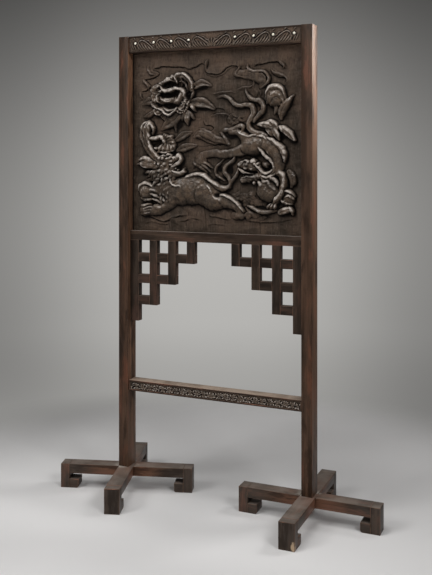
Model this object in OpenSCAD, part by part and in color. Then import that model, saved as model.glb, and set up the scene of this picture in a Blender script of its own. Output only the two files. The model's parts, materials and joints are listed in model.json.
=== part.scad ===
// Carved wooden floor screen: a framed panel of lions and peonies over a stepped fret,
// on two posts that stand on cross-shaped feet. Each foot turns on a round tenon.
// X runs to the right along the screen, Y to the back, Z up. The origin is on the floor,
// midway between the posts. Lengths are in millimetres.

/* [Overall] */
// Height from the floor to the top of the posts
screen_h = 1656; // [1560:1:1800]
// Clear width between the posts
opening_w = 662; // [600:1:740]

/* [Posts] */
// Width of a post, seen from the front
post_w = 38; // [34:1:50]
// Depth of a post, front to back
post_d = 57; // [54:1:68]
// Diameter of the round tenon under a post
turn_tenon_d = 26; // [20:1:30]

/* [Rails] */
// Height of the top rail
top_rail_h = 60; // [50:1:72]
// Depth of the top rail, front to back
top_rail_d = 47; // [44:1:50]
// How far the top rail lies behind the front of the posts
top_rail_recess = 5; // [2:1:8]
// Height of the fret rail under the panel
fret_rail_h = 34; // [32:1:44]
// Depth of the fret rail, front to back
fret_rail_d = 38; // [34:1:44]
// Height of the lower rail's underside above the floor
lower_rail_z = 366; // [200:1:480]
// Height of the lower rail
lower_rail_h = 38; // [32:1:48]
// Depth of the lower rail, front to back
lower_rail_d = 48; // [40:1:50]
// How far the lower rail lies behind the front of the posts
lower_rail_recess = 4.5; // [2:0.5:8]
// Length of a rail's tenon in the post
rail_tenon_l = 24; // [16:1:30]
// Thickness of a rail's tenon, front to back
rail_tenon_t = 12; // [8:1:14]
// Shoulder above and below a rail's tenon
rail_shoulder = 10; // [9:0.5:12]
// Width of the plain edge left round a rail's carved face
rail_edge = 5; // [3:0.5:8]
// Depth of a rail's carved face below its plain edge
rail_sink = 2; // [1:0.5:4]

/* [Bone dots] */
// Diameter of a bone dot in the top rail
dot_d = 9; // [6:0.5:12]
// Depth of the socket that a bone dot is set in
dot_sink = 3; // [2:0.5:6]
// How far a bone dot stands out of the carved face
dot_proud = 1; // [0.5:0.5:2]
// How far the row of dots lies above the middle of the top rail
dot_rise = 4; // [0:1:8]

/* [Carved panel] */
// Clear height of the panel between the top rail and the fret rail
panel_h = 647; // [560:1:700]
// How far the panel's ground lies behind the front of the posts
panel_recess = 35; // [32:1:36]
// Thickness of the panel's ground
panel_t = 12; // [10:0.5:14]
// Depth of the groove that holds the panel's edges
groove_d = 8; // [5:0.5:9]
// Greatest height of the carving above the ground
relief_h = 25; // [15:1:28]
// Distance of the left seam between the boards from the screen's middle
seam_left = 102; // [60:1:160]
// Distance of the right seam between the boards from the screen's middle
seam_right = 171; // [120:1:220]
// Height of a batten across the panel's back
batten_w = 36; // [28:1:48]
// Thickness of a batten
batten_t = 8; // [6:0.5:9]
// Length of a batten's tenon in the post
batten_tenon_l = 14; // [8:1:24]
// Thickness of a batten's tenon
batten_tenon_t = 5; // [3:0.5:6]
// Shoulder above and below a batten's tenon
batten_shoulder = 5; // [3:0.5:8]
// Distance of each batten's middle from the top or the bottom of the opening
batten_inset = 150; // [80:1:220]

/* [Fret] */
// How far the fret lies behind the front of the posts
fret_recess = 16.5; // [14:0.5:18]
// Thickness of the fret, front to back
fret_t = 26; // [20:1:30]
// Width of the stile against the post
stile_w = 35; // [28:1:44]
// Width of an upright of the fret
upright_w = 30; // [24:1:36]
// Height of a crossbar of the fret
crossbar_h = 31; // [24:1:36]
// Width of a hole in the fret
hole_w = 45; // [36:1:52]
// Height of a hole in the fret
hole_h = 47; // [36:1:60]
// How far the stile runs down below the lowest crossbar
stile_tail = 61; // [20:1:100]
// Length of the fret's stub tenons
fret_tenon_l = 12; // [8:1:15]
// Thickness of the fret's stub tenons, front to back
fret_tenon_t = 9; // [6:1:12]
// Shoulder at each side of the fret's stub tenons
fret_shoulder = 5; // [3:0.5:8]

/* [Feet] */
// Length of a foot from end to end, the same both ways
foot_span = 488; // [400:1:600]
// Height of a foot
foot_h = 87; // [80:1:110]
// Width of a foot bar
bar_w = 54; // [46:1:64]
// Height of a foot bar
bar_h = 34; // [30:1:40]
// Thickness of the upright leg at the end of an arm
leg_t = 32; // [26:1:40]
// Height of the toe that turns back inwards
toe_h = 32; // [28:1:38]
// How far the toe runs inwards from the leg
toe_l = 34; // [20:1:50]
// Radius of the toe's rounded lower corner
toe_r = 8; // [2:1:14]
// Length of the stub tenons in a leg
stub_l = 18; // [12:1:22]
// Shoulder round the stub tenons
stub_shoulder = 7; // [5:0.5:9]
// Turn of the left foot, anticlockwise from above
left_turn = 17.5; // [-45:0.5:45]
// Turn of the right foot, anticlockwise from above
right_turn = 1; // [-45:0.5:45]

/* [Foot fastening] */
// Diameter of the washer under a foot
washer_d = 42; // [34:1:46]
// Thickness of the washer
washer_t = 3; // [2:0.5:4]
// Diameter of the screw
screw_d = 6; // [4:0.5:8]
// Length of the screw below its head
screw_l = 40; // [30:1:60]
// Diameter of the screw's head
screw_head_d = 12; // [10:0.5:16]
// Height of the screw's head
screw_head_h = 4; // [3:0.5:6]

/* [Fits] */
// Clearance round a fixed tenon, lap, board or dot in its seat
joint_gap = 0.2; // [0.1:0.05:0.4]
// Radial running clearance of the round tenon in its foot
turn_fit = 0.08; // [0.04:0.01:0.1]
// Gap between the flat faces that turn on each other, above and below a foot
turn_gap = 0.3; // [0.2:0.05:0.5]

/* [Hidden] */

$fn = 64;
// Overlap of a cut past the face that it opens in
past = 1;
// Which side of the screen: the left is at negative X
LEFT = -1;
RIGHT = 1;
// Quarter turns of a foot's arms, from the arm that points right, anticlockwise
ARM_RIGHT = 0;
ARM_BACK = 1;
ARM_LEFT = 2;
ARM_FRONT = 3;

frame_wood = [0.20, 0.15, 0.12];
carved_wood = [0.24, 0.20, 0.17];
fret_wood = [0.17, 0.12, 0.10];
foot_wood = [0.30, 0.23, 0.19];
bone = [0.90, 0.86, 0.74];
dark_iron = [0.25, 0.25, 0.26];

// Planes and lines that the pieces share
half_w = opening_w / 2;
post_x = half_w + post_w / 2;
front_y = -post_d / 2;
top_rail_z = screen_h - top_rail_h;
fret_rail_top = top_rail_z - panel_h;
fret_rail_z = fret_rail_top - fret_rail_h;
panel_y = front_y + panel_recess;
fret_y = front_y + fret_recess;
top_rail_y = front_y + top_rail_recess;
lower_rail_y = front_y + lower_rail_recess;
panel_bottom = fret_rail_top - groove_d;
panel_top = top_rail_z + groove_d;
// Room over the boards for the wood to swell
swell_gap = 0.8;

// The fret steps down three holes towards the post, one fewer at each upright
fret_steps = 3;
function upright_outer(i) = half_w - stile_w - i * hole_w - (i - 1) * upright_w;
function crossbar_top(j) = fret_rail_z - j * hole_h - (j - 1) * crossbar_h;
function last_crossbar(i) = fret_steps + 1 - i;
function upright_bottom(i) = crossbar_top(last_crossbar(i)) - crossbar_h;
stile_bottom = crossbar_top(fret_steps) - crossbar_h - stile_tail;

// Distances of the bone dots from the nearer post, set by hand on the real rail
dots_from_post = [27, 102, 173, 242];

// The underside of the foot bars, and the face under them that turns with the post
bar_z = foot_h - bar_h;
washer_top = bar_z - turn_gap;

// The carving, drawn on an opening of this width and height, from the middle of its lower edge
drawn_w = 662;
drawn_h = 647;
// Size of the carving's facets
carve_cell = 12.5;
// Each stroke: radius at its start and at its end, height as a share of relief_h, its points
lower_lion = [
    [44, 50, 0.90, [[-150, 150], [-95, 155], [-40, 150]]],
    [46, 34, 0.85, [[-40, 145], [-5, 120]]],
    [22, 12, 0.80, [[-20, 105], [30, 115], [68, 105], [104, 72]]],
    [15, 12, 0.60, [[100, 64], [112, 76]]],
    [20, 16, 0.75, [[-190, 150], [-245, 152], [-284, 150]]],
    [20, 15, 0.75, [[-170, 115], [-214, 76], [-272, 76]]],
    [46, 40, 1.00, [[-205, 235], [-165, 235]]],
    [16, 10, 0.85, [[-165, 195], [-120, 212]]],
    [16, 9, 0.60, [[-10, 180], [30, 160], [58, 190], [44, 225], [58, 255], [82, 272]]],
    [10, 6, 0.50, [[24, 200], [2, 225], [28, 252]]],
    [20, 24, 0.75, [[-226, 262], [-258, 300], [-274, 350], [-262, 380]]],
    [22, 16, 0.65, [[-235, 235], [-300, 250]]]
];
upper_lion = [
    [44, 38, 0.85, [[145, 316], [185, 312]]],
    [30, 24, 0.75, [[185, 325], [235, 310], [258, 262], [250, 215]]],
    [24, 18, 0.75, [[180, 295], [205, 262], [218, 230]]],
    [20, 13, 0.65, [[115, 335], [95, 368], [62, 356], [38, 336], [52, 316]]],
    [20, 12, 0.55, [[110, 296], [66, 292], [2, 286], [-46, 274], [-62, 242], [-28, 226]]],
    [38, 32, 1.00, [[125, 240], [150, 222]]],
    [40, 36, 0.90, [[205, 165], [205, 150]]],
    [18, 15, 0.70, [[250, 215], [258, 178], [248, 140], [218, 98]]],
    [20, 16, 0.60, [[262, 140], [298, 130]]],
    [14, 16, 0.55, [[135, 92], [176, 80], [220, 84], [288, 86]]],
    [15, 12, 0.65, [[160, 345], [138, 370], [128, 400], [148, 425], [140, 445], [90, 445], [60, 470], [28, 475]]],
    [12, 8, 0.55, [[160, 405], [184, 442], [165, 462], [132, 468], [122, 498]]]
];
leaves = [
    [16, 3, 0.60, [[-78, 510], [-20, 528]]],
    [20, 4, 0.60, [[-85, 466], [-10, 444]]],
    [16, 4, 0.55, [[-96, 430], [-104, 392]]],
    [18, 5, 0.50, [[-226, 412], [-184, 378]]],
    [16, 4, 0.45, [[-243, 470], [-284, 463]]],
    [18, 4, 0.60, [[240, 410], [286, 466]]],
    [16, 4, 0.55, [[190, 374], [226, 372]]],
    [18, 5, 0.60, [[226, 368], [238, 332]]],
    [18, 5, 0.60, [[255, 362], [296, 326]]],
    [14, 4, 0.50, [[-168, 335], [-128, 345], [-85, 353]]],
    [14, 4, 0.50, [[-141, 295], [-75, 308]]],
    [26, 20, 0.70, [[-225, 322], [-185, 312]]],
    [34, 26, 0.70, [[228, 490], [238, 470]]]
];
clouds = [
    [7, 7, 0.25, [[-243, 592], [-141, 590], [-96, 582], [-52, 595]]],
    [8, 8, 0.25, [[-25, 600], [-25, 567], [2, 556], [61, 587], [90, 581], [77, 548], [140, 531]]],
    [7, 7, 0.25, [[145, 586], [243, 593], [258, 573]]],
    [9, 9, 0.35, [[125, 582], [140, 564], [192, 557], [205, 528], [172, 500]]],
    [10, 10, 0.30, [[-60, 350], [-30, 358], [8, 326], [48, 318]]],
    [20, 14, 0.30, [[-215, 40], [-158, 62], [-74, 95]]],
    [20, 14, 0.30, [[-46, 66], [13, 86], [67, 92]]]
];
// The peony: a ring of petals round a smaller ring, with a hollow heart
peony_at = [-158, 486];
peony_petals = 9;
peony = concat(
    [for (k = [0 : peony_petals - 1]) let (a = 360 * k / peony_petals)
        [24, 22, 0.80, [peony_at + 46 * [cos(a), sin(a)], peony_at + 56 * [cos(a), sin(a)]]]],
    [for (k = [0 : peony_petals - 3]) let (a = 360 * k / (peony_petals - 2))
        [16, 14, 1.00, [peony_at + 24 * [cos(a), sin(a)], peony_at + 30 * [cos(a + 20), sin(a + 20)]]]]
);
carving = concat(lower_lion, upper_lion, leaves, clouds, peony);

// Height at p of one stretch of a stroke, rounded over its width
function stretch_height(p, a, b, ra, rb, h) =
    let (d = b - a, t = max(0, min(1, (p - a) * d / (d * d))),
         q = norm(p - a - t * d) / (ra + (rb - ra) * t))
    q < 1 ? h * min(1, 1.15 * sqrt(1 - q * q)) : 0;
// Height at p of a whole stroke, whose radius changes evenly along it
function stroke_height(p, s) =
    let (pts = s[3], n = len(pts) - 1, grow = (s[1] - s[0]) / n)
    max([for (i = [0 : n - 1])
        stretch_height(p, pts[i], pts[i + 1], s[0] + grow * i, s[0] + grow * (i + 1), s[2])]);
// Height of the carving at a point of the panel's opening, none under the frame
function relief(x, z) =
    abs(x) > half_w - past || z < fret_rail_top + past || z > top_rail_z - past ? 0
    : let (p = [x * drawn_w / opening_w, (z - fret_rail_top) * drawn_h / panel_h])
      relief_h * max([for (s = carving) stroke_height(p, s)]);

// A square stick between two corners
module stick(low, high) {
    translate(low) cube(high - low);
}

// A board of the panel between two upright lines: a grid of heights in front, flat behind
module carved_board(x_low, x_high) {
    z_low = panel_bottom;
    z_high = panel_top - swell_gap;
    nx = ceil((x_high - x_low) / carve_cell);
    nz = ceil((z_high - z_low) / carve_cell);
    function at_x(i) = x_low + (x_high - x_low) * i / nx;
    function at_z(j) = z_low + (z_high - z_low) * j / nz;
    function front(i, j) = i * (nz + 1) + j;
    function back_left(j) = (nx + 1) * (nz + 1) + j;
    function back_right(j) = back_left(j) + nz + 1;
    points = concat(
        [for (i = [0 : nx], j = [0 : nz]) [at_x(i), panel_y - relief(at_x(i), at_z(j)), at_z(j)]],
        [for (x = [x_low, x_high], j = [0 : nz]) [x, panel_y + panel_t, at_z(j)]]
    );
    faces = concat(
        // The carved front, two triangles to each cell
        [for (i = [0 : nx - 1], j = [0 : nz - 1]) [front(i, j), front(i, j + 1), front(i + 1, j + 1)]],
        [for (i = [0 : nx - 1], j = [0 : nz - 1]) [front(i, j), front(i + 1, j + 1), front(i + 1, j)]],
        // The left edge, the right edge and the back, a strip for each row
        [for (j = [0 : nz - 1]) [back_left(j), back_left(j + 1), front(0, j + 1), front(0, j)]],
        [for (j = [0 : nz - 1]) [front(nx, j), front(nx, j + 1), back_right(j + 1), back_right(j)]],
        [for (j = [0 : nz - 1]) [back_right(j), back_right(j + 1), back_left(j + 1), back_left(j)]],
        // The top edge and the bottom edge
        [concat([back_left(nz), back_right(nz)], [for (i = [nx : -1 : 0]) front(i, nz)])],
        [concat([back_left(0)], [for (i = [0 : nx]) front(i, 0)], [back_right(0)])]
    );
    polyhedron(points = points, faces = faces, convexity = 10);
}

module panel_board(x_low, x_high) {
    color(carved_wood) carved_board(x_low, x_high);
}

// The middles of the two battens
batten_z_upper = top_rail_z - batten_inset;
batten_z_lower = fret_rail_top + batten_inset;

// The pair of tenons of a batten, thinner than it behind, grown all round by gap
module batten_tenons(z, gap) {
    reach = half_w + batten_tenon_l + gap;
    back = panel_y + panel_t;
    stick(
        [-reach, back - gap, z - batten_w / 2 + batten_shoulder - gap],
        [reach, back + batten_tenon_t + gap, z + batten_w / 2 - batten_shoulder + gap]
    );
}

// A batten across the panel's back, held by its tenons in the posts
module panel_batten(z) {
    back = panel_y + panel_t;
    color(frame_wood) {
        stick([-half_w, back, z - batten_w / 2], [half_w, back + batten_t, z + batten_w / 2]);
        batten_tenons(z, 0);
    }
}

// A rail between the posts with a tenon at each end
module rail_blank(y, z, d, h) {
    stick([-half_w, y, z], [half_w, y + d, z + h]);
    rail_tenons(y, z, d, h, 0);
}

// The pair of tenons of a rail, grown all round by gap to cut their mortises
module rail_tenons(y, z, d, h, gap) {
    reach = half_w + rail_tenon_l + gap;
    mid = y + d / 2;
    stick(
        [-reach, mid - rail_tenon_t / 2 - gap, z + rail_shoulder - gap],
        [reach, mid + rail_tenon_t / 2 + gap, z + h - rail_shoulder + gap]
    );
}

// The shallow field cut in a rail's front, inside its plain edge
module rail_field(y, z, h) {
    stick(
        [-half_w + rail_edge, y - past, z + rail_edge],
        [half_w - rail_edge, y + rail_sink, z + h - rail_edge]
    );
}

// Space of the panel's edges in the frame, with its clearance
module panel_groove() {
    stick(
        [-half_w - groove_d - joint_gap, panel_y - joint_gap, panel_bottom],
        [half_w + groove_d + joint_gap, panel_y + panel_t + joint_gap, panel_top]
    );
}

// The places of the bone dots, on the carved face of the top rail
module at_dots() {
    for (side = [LEFT, RIGHT])
        for (from_post = dots_from_post)
            translate([
                side * (half_w - from_post),
                top_rail_y + rail_sink,
                top_rail_z + top_rail_h / 2 + dot_rise
            ])
                rotate([90, 0, 0])
                    children();
}

module top_rail() {
    color(carved_wood)
        difference() {
            rail_blank(top_rail_y, top_rail_z, top_rail_d, top_rail_h);
            rail_field(top_rail_y, top_rail_z, top_rail_h);
            panel_groove();
            at_dots() translate([0, 0, -dot_sink]) cylinder(d = dot_d + 2 * joint_gap, h = dot_sink + past);
        }
}

module bone_dots() {
    color(bone) at_dots() translate([0, 0, -dot_sink]) cylinder(d = dot_d, h = dot_sink + dot_proud);
}

module lower_rail() {
    color(carved_wood)
        difference() {
            rail_blank(lower_rail_y, lower_rail_z, lower_rail_d, lower_rail_h);
            rail_field(lower_rail_y, lower_rail_z, lower_rail_h);
        }
}

module fret_rail() {
    color(fret_wood)
        difference() {
            rail_blank(fret_y, fret_rail_z, fret_rail_d, fret_rail_h);
            panel_groove();
            for (side = [LEFT, RIGHT]) {
                upright_tenon(side, half_w - stile_w, stile_w, joint_gap);
                for (i = [1 : fret_steps])
                    upright_tenon(side, upright_outer(i) - upright_w, upright_w, joint_gap);
            }
        }
}

// A box on one side of the screen: inner and outer distance from the middle, and its other limits
module side_box(side, inner, outer, y_low, y_high, z_low, z_high) {
    stick(
        [side > 0 ? inner : -outer, y_low, z_low],
        [side > 0 ? outer : -inner, y_high, z_high]
    );
}

fret_mid = fret_y + fret_t / 2;

// The stub tenon on top of a stile or upright, which goes up into the fret rail
module upright_tenon(side, inner, w, gap) {
    side_box(
        side, inner + fret_shoulder - gap, inner + w - fret_shoulder + gap,
        fret_mid - fret_tenon_t / 2 - gap, fret_mid + fret_tenon_t / 2 + gap,
        fret_rail_z - past * 2, fret_rail_z + fret_tenon_l + gap
    );
}

// The stub tenon at the outer end of a crossbar, which goes into the stile
module crossbar_tenon(side, j, gap) {
    side_box(
        side, half_w - stile_w - past, half_w - stile_w + fret_tenon_l + gap,
        fret_mid - fret_tenon_t / 2 - gap, fret_mid + fret_tenon_t / 2 + gap,
        crossbar_top(j) - crossbar_h + fret_shoulder - gap, crossbar_top(j) - fret_shoulder + gap
    );
}

module fret_stile(side) {
    color(fret_wood)
        difference() {
            union() {
                side_box(side, half_w - stile_w, half_w, fret_y, fret_y + fret_t, stile_bottom, fret_rail_z);
                upright_tenon(side, half_w - stile_w, stile_w, 0);
            }
            for (j = [1 : fret_steps])
                crossbar_tenon(side, j, joint_gap);
        }
}

// An upright of the fret, whose back half is cut away where a crossbar passes behind it
module fret_upright(side, i) {
    inner = upright_outer(i) - upright_w;
    color(fret_wood)
        difference() {
            union() {
                side_box(
                    side, inner, upright_outer(i), fret_y, fret_y + fret_t,
                    upright_bottom(i), fret_rail_z
                );
                upright_tenon(side, inner, upright_w, 0);
            }
            for (j = [1 : last_crossbar(i)])
                side_box(
                    side, inner - past, upright_outer(i) + past, fret_mid, fret_y + fret_t + past,
                    crossbar_top(j) - crossbar_h - (j == last_crossbar(i) ? past : joint_gap),
                    crossbar_top(j) + joint_gap
                );
        }
}

// A crossbar of the fret, whose front half is cut away where an upright passes in front of it
module fret_crossbar(side, j) {
    last_upright = fret_steps + 1 - j;
    inner = upright_outer(last_upright) - upright_w;
    color(fret_wood)
        difference() {
            union() {
                side_box(
                    side, inner, half_w - stile_w, fret_y, fret_y + fret_t,
                    crossbar_top(j) - crossbar_h, crossbar_top(j)
                );
                crossbar_tenon(side, j, 0);
            }
            for (i = [1 : last_upright])
                side_box(
                    side, upright_outer(i) - upright_w - (i == last_upright ? past : joint_gap),
                    upright_outer(i) + joint_gap, fret_y - past, fret_mid,
                    crossbar_top(j) - crossbar_h - past, crossbar_top(j) + past
                );
        }
}

// A post with its mortises and groove, the round tenon under it and the screw's hole
module post(side) {
    tenon_h = foot_h + turn_gap - washer_top;
    color(frame_wood)
        difference() {
            union() {
                side_box(
                    side, half_w, half_w + post_w, front_y, -front_y,
                    foot_h + turn_gap, screen_h
                );
                translate([side * post_x, 0, washer_top]) cylinder(d = turn_tenon_d, h = tenon_h + past);
            }
            rail_tenons(top_rail_y, top_rail_z, top_rail_d, top_rail_h, joint_gap);
            rail_tenons(fret_y, fret_rail_z, fret_rail_d, fret_rail_h, joint_gap);
            rail_tenons(lower_rail_y, lower_rail_z, lower_rail_d, lower_rail_h, joint_gap);
            batten_tenons(batten_z_upper, joint_gap);
            batten_tenons(batten_z_lower, joint_gap);
            panel_groove();
            translate([side * post_x, 0, washer_top - past])
                cylinder(d = screw_d + 2 * joint_gap, h = screw_l - washer_t + 2 * past);
        }
}

// Places its children at the middle of a foot, turned as the foot is
module on_foot(side) {
    translate([side * post_x, 0, 0])
        rotate(side == LEFT ? left_turn : right_turn)
            children();
}

// A stub tenon along X from a leg's inner face outwards, grown all round by gap
module stub_tenon(z_low, z_high, gap) {
    inner = foot_span / 2 - leg_t;
    stick(
        [inner - past, -bar_w / 2 + stub_shoulder - gap, z_low + stub_shoulder - gap],
        [inner + stub_l + gap, bar_w / 2 - stub_shoulder + gap, z_high - stub_shoulder + gap]
    );
}

// A foot bar along X; the lap is the half of its height that is cut away for the other bar
module foot_bar(lap_low, lap_high) {
    inner = foot_span / 2 - leg_t;
    difference() {
        union() {
            stick([-inner, -bar_w / 2, bar_z], [inner, bar_w / 2, foot_h]);
            for (turn = [0, 180])
                rotate(turn)
                    stub_tenon(bar_z, foot_h, 0);
        }
        stick(
            [-bar_w / 2 - joint_gap, -bar_w / 2 - past, lap_low],
            [bar_w / 2 + joint_gap, bar_w / 2 + past, lap_high]
        );
        translate([0, 0, bar_z - past]) cylinder(d = turn_tenon_d + 2 * turn_fit, h = bar_h + 2 * past);
    }
}

// The bar that runs along the screen, cut away above where the other crosses it
module foot_side_bar(side) {
    color(foot_wood) on_foot(side) foot_bar(bar_z + bar_h / 2, foot_h + past);
}

// The bar that runs from front to back, cut away below
module foot_front_bar(side) {
    color(foot_wood) on_foot(side) rotate(90) foot_bar(bar_z - past, bar_z + bar_h / 2);
}

// The upright leg at the end of an arm
module foot_leg(side, arm) {
    inner = foot_span / 2 - leg_t;
    color(foot_wood)
        on_foot(side)
            rotate(90 * arm)
                difference() {
                    stick([inner, -bar_w / 2, 0], [foot_span / 2, bar_w / 2, foot_h]);
                    stub_tenon(bar_z, foot_h, joint_gap);
                    stub_tenon(0, toe_h, joint_gap);
                }
}

// Side view of a toe, from its inner end, with the lower corner there rounded
module toe_outline() {
    square_from = toe_r;
    translate([square_from, 0]) square([toe_l - square_from, toe_h]);
    translate([0, toe_r]) square([toe_l, toe_h - toe_r]);
    translate([toe_r, toe_r]) circle(r = toe_r);
}

// The toe that turns back inwards at the bottom of a leg
module foot_toe(side, arm) {
    inner = foot_span / 2 - leg_t;
    color(foot_wood)
        on_foot(side)
            rotate(90 * arm)
                union() {
                    translate([inner - toe_l, bar_w / 2, 0])
                        rotate([90, 0, 0])
                            linear_extrude(bar_w)
                                toe_outline();
                    stub_tenon(0, toe_h, 0);
                }
}

// Places its children under each post, at the face that turns with it
module under_posts() {
    for (side = [LEFT, RIGHT])
        translate([side * post_x, 0, washer_top])
            mirror([0, 0, 1])
                children();
}

module foot_washers() {
    color(dark_iron)
        under_posts()
            difference() {
                cylinder(d = washer_d, h = washer_t);
                translate([0, 0, -past]) cylinder(d = screw_d + 2 * joint_gap, h = washer_t + 2 * past);
            }
}

module foot_screws() {
    color(dark_iron)
        under_posts() {
            translate([0, 0, washer_t - screw_l]) cylinder(d = screw_d, h = screw_l + past);
            translate([0, 0, washer_t]) cylinder(d = screw_head_d, h = screw_head_h);
        }
}

module post_left() { post(LEFT); }
module post_right() { post(RIGHT); }
module panel_board_left() { panel_board(-half_w - groove_d, -seam_left); }
module panel_board_middle() { panel_board(-seam_left, seam_right); }
module panel_board_right() { panel_board(seam_right, half_w + groove_d); }
module panel_batten_upper() { panel_batten(batten_z_upper); }
module panel_batten_lower() { panel_batten(batten_z_lower); }
module left_fret_stile() { fret_stile(LEFT); }
module left_fret_upright_1() { fret_upright(LEFT, 1); }
module left_fret_upright_2() { fret_upright(LEFT, 2); }
module left_fret_upright_3() { fret_upright(LEFT, 3); }
module left_fret_crossbar_1() { fret_crossbar(LEFT, 1); }
module left_fret_crossbar_2() { fret_crossbar(LEFT, 2); }
module left_fret_crossbar_3() { fret_crossbar(LEFT, 3); }
module right_fret_stile() { fret_stile(RIGHT); }
module right_fret_upright_1() { fret_upright(RIGHT, 1); }
module right_fret_upright_2() { fret_upright(RIGHT, 2); }
module right_fret_upright_3() { fret_upright(RIGHT, 3); }
module right_fret_crossbar_1() { fret_crossbar(RIGHT, 1); }
module right_fret_crossbar_2() { fret_crossbar(RIGHT, 2); }
module right_fret_crossbar_3() { fret_crossbar(RIGHT, 3); }
module left_foot_side_bar() { foot_side_bar(LEFT); }
module left_foot_front_bar() { foot_front_bar(LEFT); }
module left_foot_right_leg() { foot_leg(LEFT, ARM_RIGHT); }
module left_foot_back_leg() { foot_leg(LEFT, ARM_BACK); }
module left_foot_left_leg() { foot_leg(LEFT, ARM_LEFT); }
module left_foot_front_leg() { foot_leg(LEFT, ARM_FRONT); }
module left_foot_right_toe() { foot_toe(LEFT, ARM_RIGHT); }
module left_foot_back_toe() { foot_toe(LEFT, ARM_BACK); }
module left_foot_left_toe() { foot_toe(LEFT, ARM_LEFT); }
module left_foot_front_toe() { foot_toe(LEFT, ARM_FRONT); }
module right_foot_side_bar() { foot_side_bar(RIGHT); }
module right_foot_front_bar() { foot_front_bar(RIGHT); }
module right_foot_right_leg() { foot_leg(RIGHT, ARM_RIGHT); }
module right_foot_back_leg() { foot_leg(RIGHT, ARM_BACK); }
module right_foot_left_leg() { foot_leg(RIGHT, ARM_LEFT); }
module right_foot_front_leg() { foot_leg(RIGHT, ARM_FRONT); }
module right_foot_right_toe() { foot_toe(RIGHT, ARM_RIGHT); }
module right_foot_back_toe() { foot_toe(RIGHT, ARM_BACK); }
module right_foot_left_toe() { foot_toe(RIGHT, ARM_LEFT); }
module right_foot_front_toe() { foot_toe(RIGHT, ARM_FRONT); }

post_left();
post_right();
top_rail();
fret_rail();
lower_rail();
bone_dots();
panel_board_left();
panel_board_middle();
panel_board_right();
panel_batten_upper();
panel_batten_lower();
left_fret_stile();
left_fret_upright_1();
left_fret_upright_2();
left_fret_upright_3();
left_fret_crossbar_1();
left_fret_crossbar_2();
left_fret_crossbar_3();
right_fret_stile();
right_fret_upright_1();
right_fret_upright_2();
right_fret_upright_3();
right_fret_crossbar_1();
right_fret_crossbar_2();
right_fret_crossbar_3();
left_foot_side_bar();
left_foot_front_bar();
left_foot_right_leg();
left_foot_back_leg();
left_foot_left_leg();
left_foot_front_leg();
left_foot_right_toe();
left_foot_back_toe();
left_foot_left_toe();
left_foot_front_toe();
right_foot_side_bar();
right_foot_front_bar();
right_foot_right_leg();
right_foot_back_leg();
right_foot_left_leg();
right_foot_front_leg();
right_foot_right_toe();
right_foot_back_toe();
right_foot_left_toe();
right_foot_front_toe();
foot_washers();
foot_screws();
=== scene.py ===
# %% [markdown]
# # A carved floor screen of old dark wood
# The screen is a tall stand: two posts on cross-shaped feet, a thick panel carved in high relief with
# two lions among peonies, a stepped fret under it and a thin carved rail lower down. The construction
# comes ready made, with each stick a solid of its own. Here every visible surface gets its finish, and
# the carving, which is the point of the piece, gets its full depth of detail.

# %% Load the construction
import json
import math

import bmesh
import bpy
import numpy as np
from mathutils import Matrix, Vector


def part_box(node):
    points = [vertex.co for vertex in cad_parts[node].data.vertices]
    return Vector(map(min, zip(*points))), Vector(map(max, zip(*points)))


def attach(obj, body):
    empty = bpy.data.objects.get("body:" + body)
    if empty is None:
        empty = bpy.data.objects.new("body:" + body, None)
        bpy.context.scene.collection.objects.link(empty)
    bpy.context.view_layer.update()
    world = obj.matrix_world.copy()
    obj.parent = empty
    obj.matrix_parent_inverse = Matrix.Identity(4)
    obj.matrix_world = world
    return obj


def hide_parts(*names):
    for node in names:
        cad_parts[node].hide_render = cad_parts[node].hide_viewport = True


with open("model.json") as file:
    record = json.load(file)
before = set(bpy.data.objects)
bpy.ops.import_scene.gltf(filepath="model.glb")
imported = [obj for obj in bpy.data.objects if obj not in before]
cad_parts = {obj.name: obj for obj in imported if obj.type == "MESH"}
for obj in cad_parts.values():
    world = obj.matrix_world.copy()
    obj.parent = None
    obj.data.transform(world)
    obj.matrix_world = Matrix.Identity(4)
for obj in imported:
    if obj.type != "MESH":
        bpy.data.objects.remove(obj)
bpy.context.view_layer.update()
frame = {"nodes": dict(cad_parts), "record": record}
MM = 0.001

# %% [markdown]
# ## The camera
# The picture was taken from the right, a little above the middle, with the posts kept upright. A level
# camera with some vertical shift keeps upright lines parallel, which tilting it would not.

# %% Camera
CAMERA_AT = (1.218, -2.703, 1.193)
CAMERA_TURN = math.radians(24.12)
camera_data = bpy.data.cameras.new("camera")
camera_data.lens = 52.8
camera_data.sensor_width = 36.0
camera_data.shift_y = -0.2155
camera = bpy.data.objects.new("camera", camera_data)
camera.location = CAMERA_AT
camera.rotation_euler = (math.pi / 2, 0, CAMERA_TURN)
bpy.context.scene.collection.objects.link(camera)
bpy.context.scene.camera = camera
bpy.context.scene.view_settings.view_transform = "Standard"
print("camera", round(math.hypot(*CAMERA_AT[:2]), 2), "m from the screen")

# %% [markdown]
# ## Writing materials as sums
# A wood finish is a handful of patterns added and multiplied. Wiring each sum by hand hides the recipe, so
# a small class wraps a node's output and lets Python's own signs make the Math nodes.


# %% Shader maths
def operator(operation, swapped=False):
    """A method that adds the Math node of an operation. Swapped has its two values the other way round."""

    def method(self, other):
        """The node that joins the two values."""
        return self.math(operation, other, self) if swapped else self.math(operation, self, other)

    return method


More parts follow.
